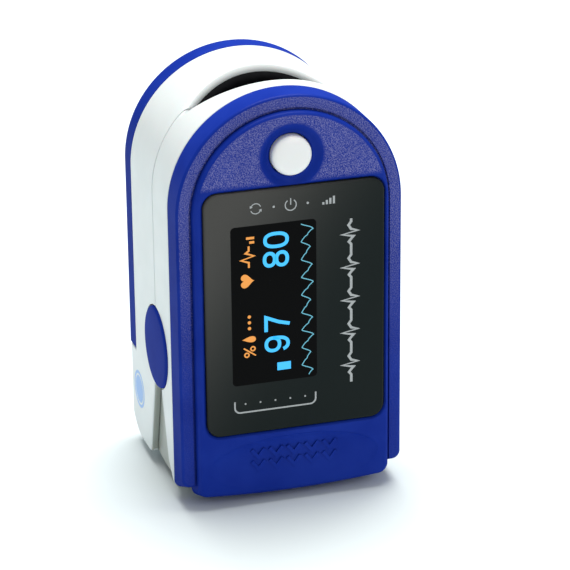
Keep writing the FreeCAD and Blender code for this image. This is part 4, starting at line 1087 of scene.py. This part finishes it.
def make_side_mark():
    """Plain round mark on the side of the tail: a disc in a ring."""
    rings = []
    middle_y, middle_z = 9.65, 9.1
    outside, inside = -HALF - 0.008, -HALF + 0.05
    for outer, inner in ((2.8, 2.35), (2.05, 0.02)):
        rim, bore = circle(middle_y, middle_z, outer), circle(middle_y, middle_z, inner)
        rings.append(skin("ring", [at_x(rim, outside), at_x(rim, inside),
                                   at_x(bore, inside), at_x(bore, outside)], closed=True))
    dress(merge("tail_mark", rings), "rear_half", MARK_INK)


# ---------------------------------------------------------------- stage

WARM_LIGHT = (1.0, 0.985, 0.955)


def make_stage():
    reach = 900
    corners = [(x, y, 0) for x, y in box_outline(-reach, -reach, reach, reach)]
    floor = new_object("floor", corners, [(0, 1, 2, 3)])
    finish = Finish("floor_pale", (0.70, 0.77, 0.79), 0.9, Specular_IOR_Level=0.0)
    finish.tint(finish.noise(60, 2), (0.69, 0.76, 0.78), (0.71, 0.78, 0.80))
    floor.data.materials.append(finish.material)
    world = bpy.data.worlds.new("studio")
    bpy.context.scene.world = world
    world.use_nodes = True
    background = world.node_tree.nodes["Background"]
    background.inputs["Color"].default_value = (1, 1, 1, 1)
    background.inputs["Strength"].default_value = 0.42
    for name, place, size, power in (
            ("key", (0.12, -0.42, 0.30), (0.25, 0.25), 0.45),
            ("fill", (0.45, -0.05, 0.16), (0.30, 0.30), 0.15),
            ("top", (0.05, 0.12, 0.54), (0.40, 0.40), 5.0)):
        data = bpy.data.lights.new(name, "AREA")
        data.shape = "RECTANGLE"
        data.size, data.size_y = size
        data.energy = power
        data.color = WARM_LIGHT
        lamp = bpy.data.objects.new(name, data)
        lamp.location = place
        aim = Vector((0, 0, 0.03)) - Vector(place)
        lamp.rotation_euler = aim.to_track_quat("-Z", "Y").to_euler()
        bpy.context.scene.collection.objects.link(lamp)


def make_camera():
    """The viewing angle of the main picture, in which the device stands a little to the left."""
    place = (-0.10498, -0.35148, 0.17096)
    yaw, pitch, roll = (math.radians(a) for a in (17.12, 21.45, -0.59))
    ahead = Vector((math.sin(yaw) * math.cos(pitch), math.cos(yaw) * math.cos(pitch), -math.sin(pitch)))
    right = Vector((math.cos(yaw), -math.sin(yaw), 0))
    up = right.cross(ahead)
    tilted_right = math.cos(roll) * right + math.sin(roll) * up
    tilted_up = -math.sin(roll) * right + math.cos(roll) * up
    data = bpy.data.cameras.new("camera")
    data.lens, data.sensor_width = 176.07, 36
    data.clip_start = 0.01
    camera = bpy.data.objects.new("camera", data)
    turn = Matrix((tilted_right, tilted_up, -ahead)).transposed()
    camera.matrix_world = Matrix.Translation(place) @ turn.to_4x4()
    bpy.context.scene.collection.objects.link(camera)
    bpy.context.scene.camera = camera


def paint_frame_nodes():
    """Gives every CAD node that stays the finish of its material slot."""
    slot_of = {part["node"]: part["material_slot"] for part in frame["record"]["subparts"]}
    for name, thing in frame["nodes"].items():
        material = SLOT_MATERIALS[slot_of[name]]
        if not thing.data.materials:
            thing.data.materials.append(material)
        for place in thing.material_slots:
            place.material = material


paint_frame_nodes()
make_front_cover()
make_lens()
make_button()
make_front_shell()
make_rear_shell()
make_door()
make_caps()
make_pad("finger_pad_front", "front_pad", CHANNEL_FRONT, -1)
make_pad("finger_pad_rear", "rear_pad", CHANNEL_BACK, 1)
make_screen()
make_lens_print()
make_side_mark()
make_stage()
make_camera()
bpy.context.scene.view_settings.view_transform = "Standard"
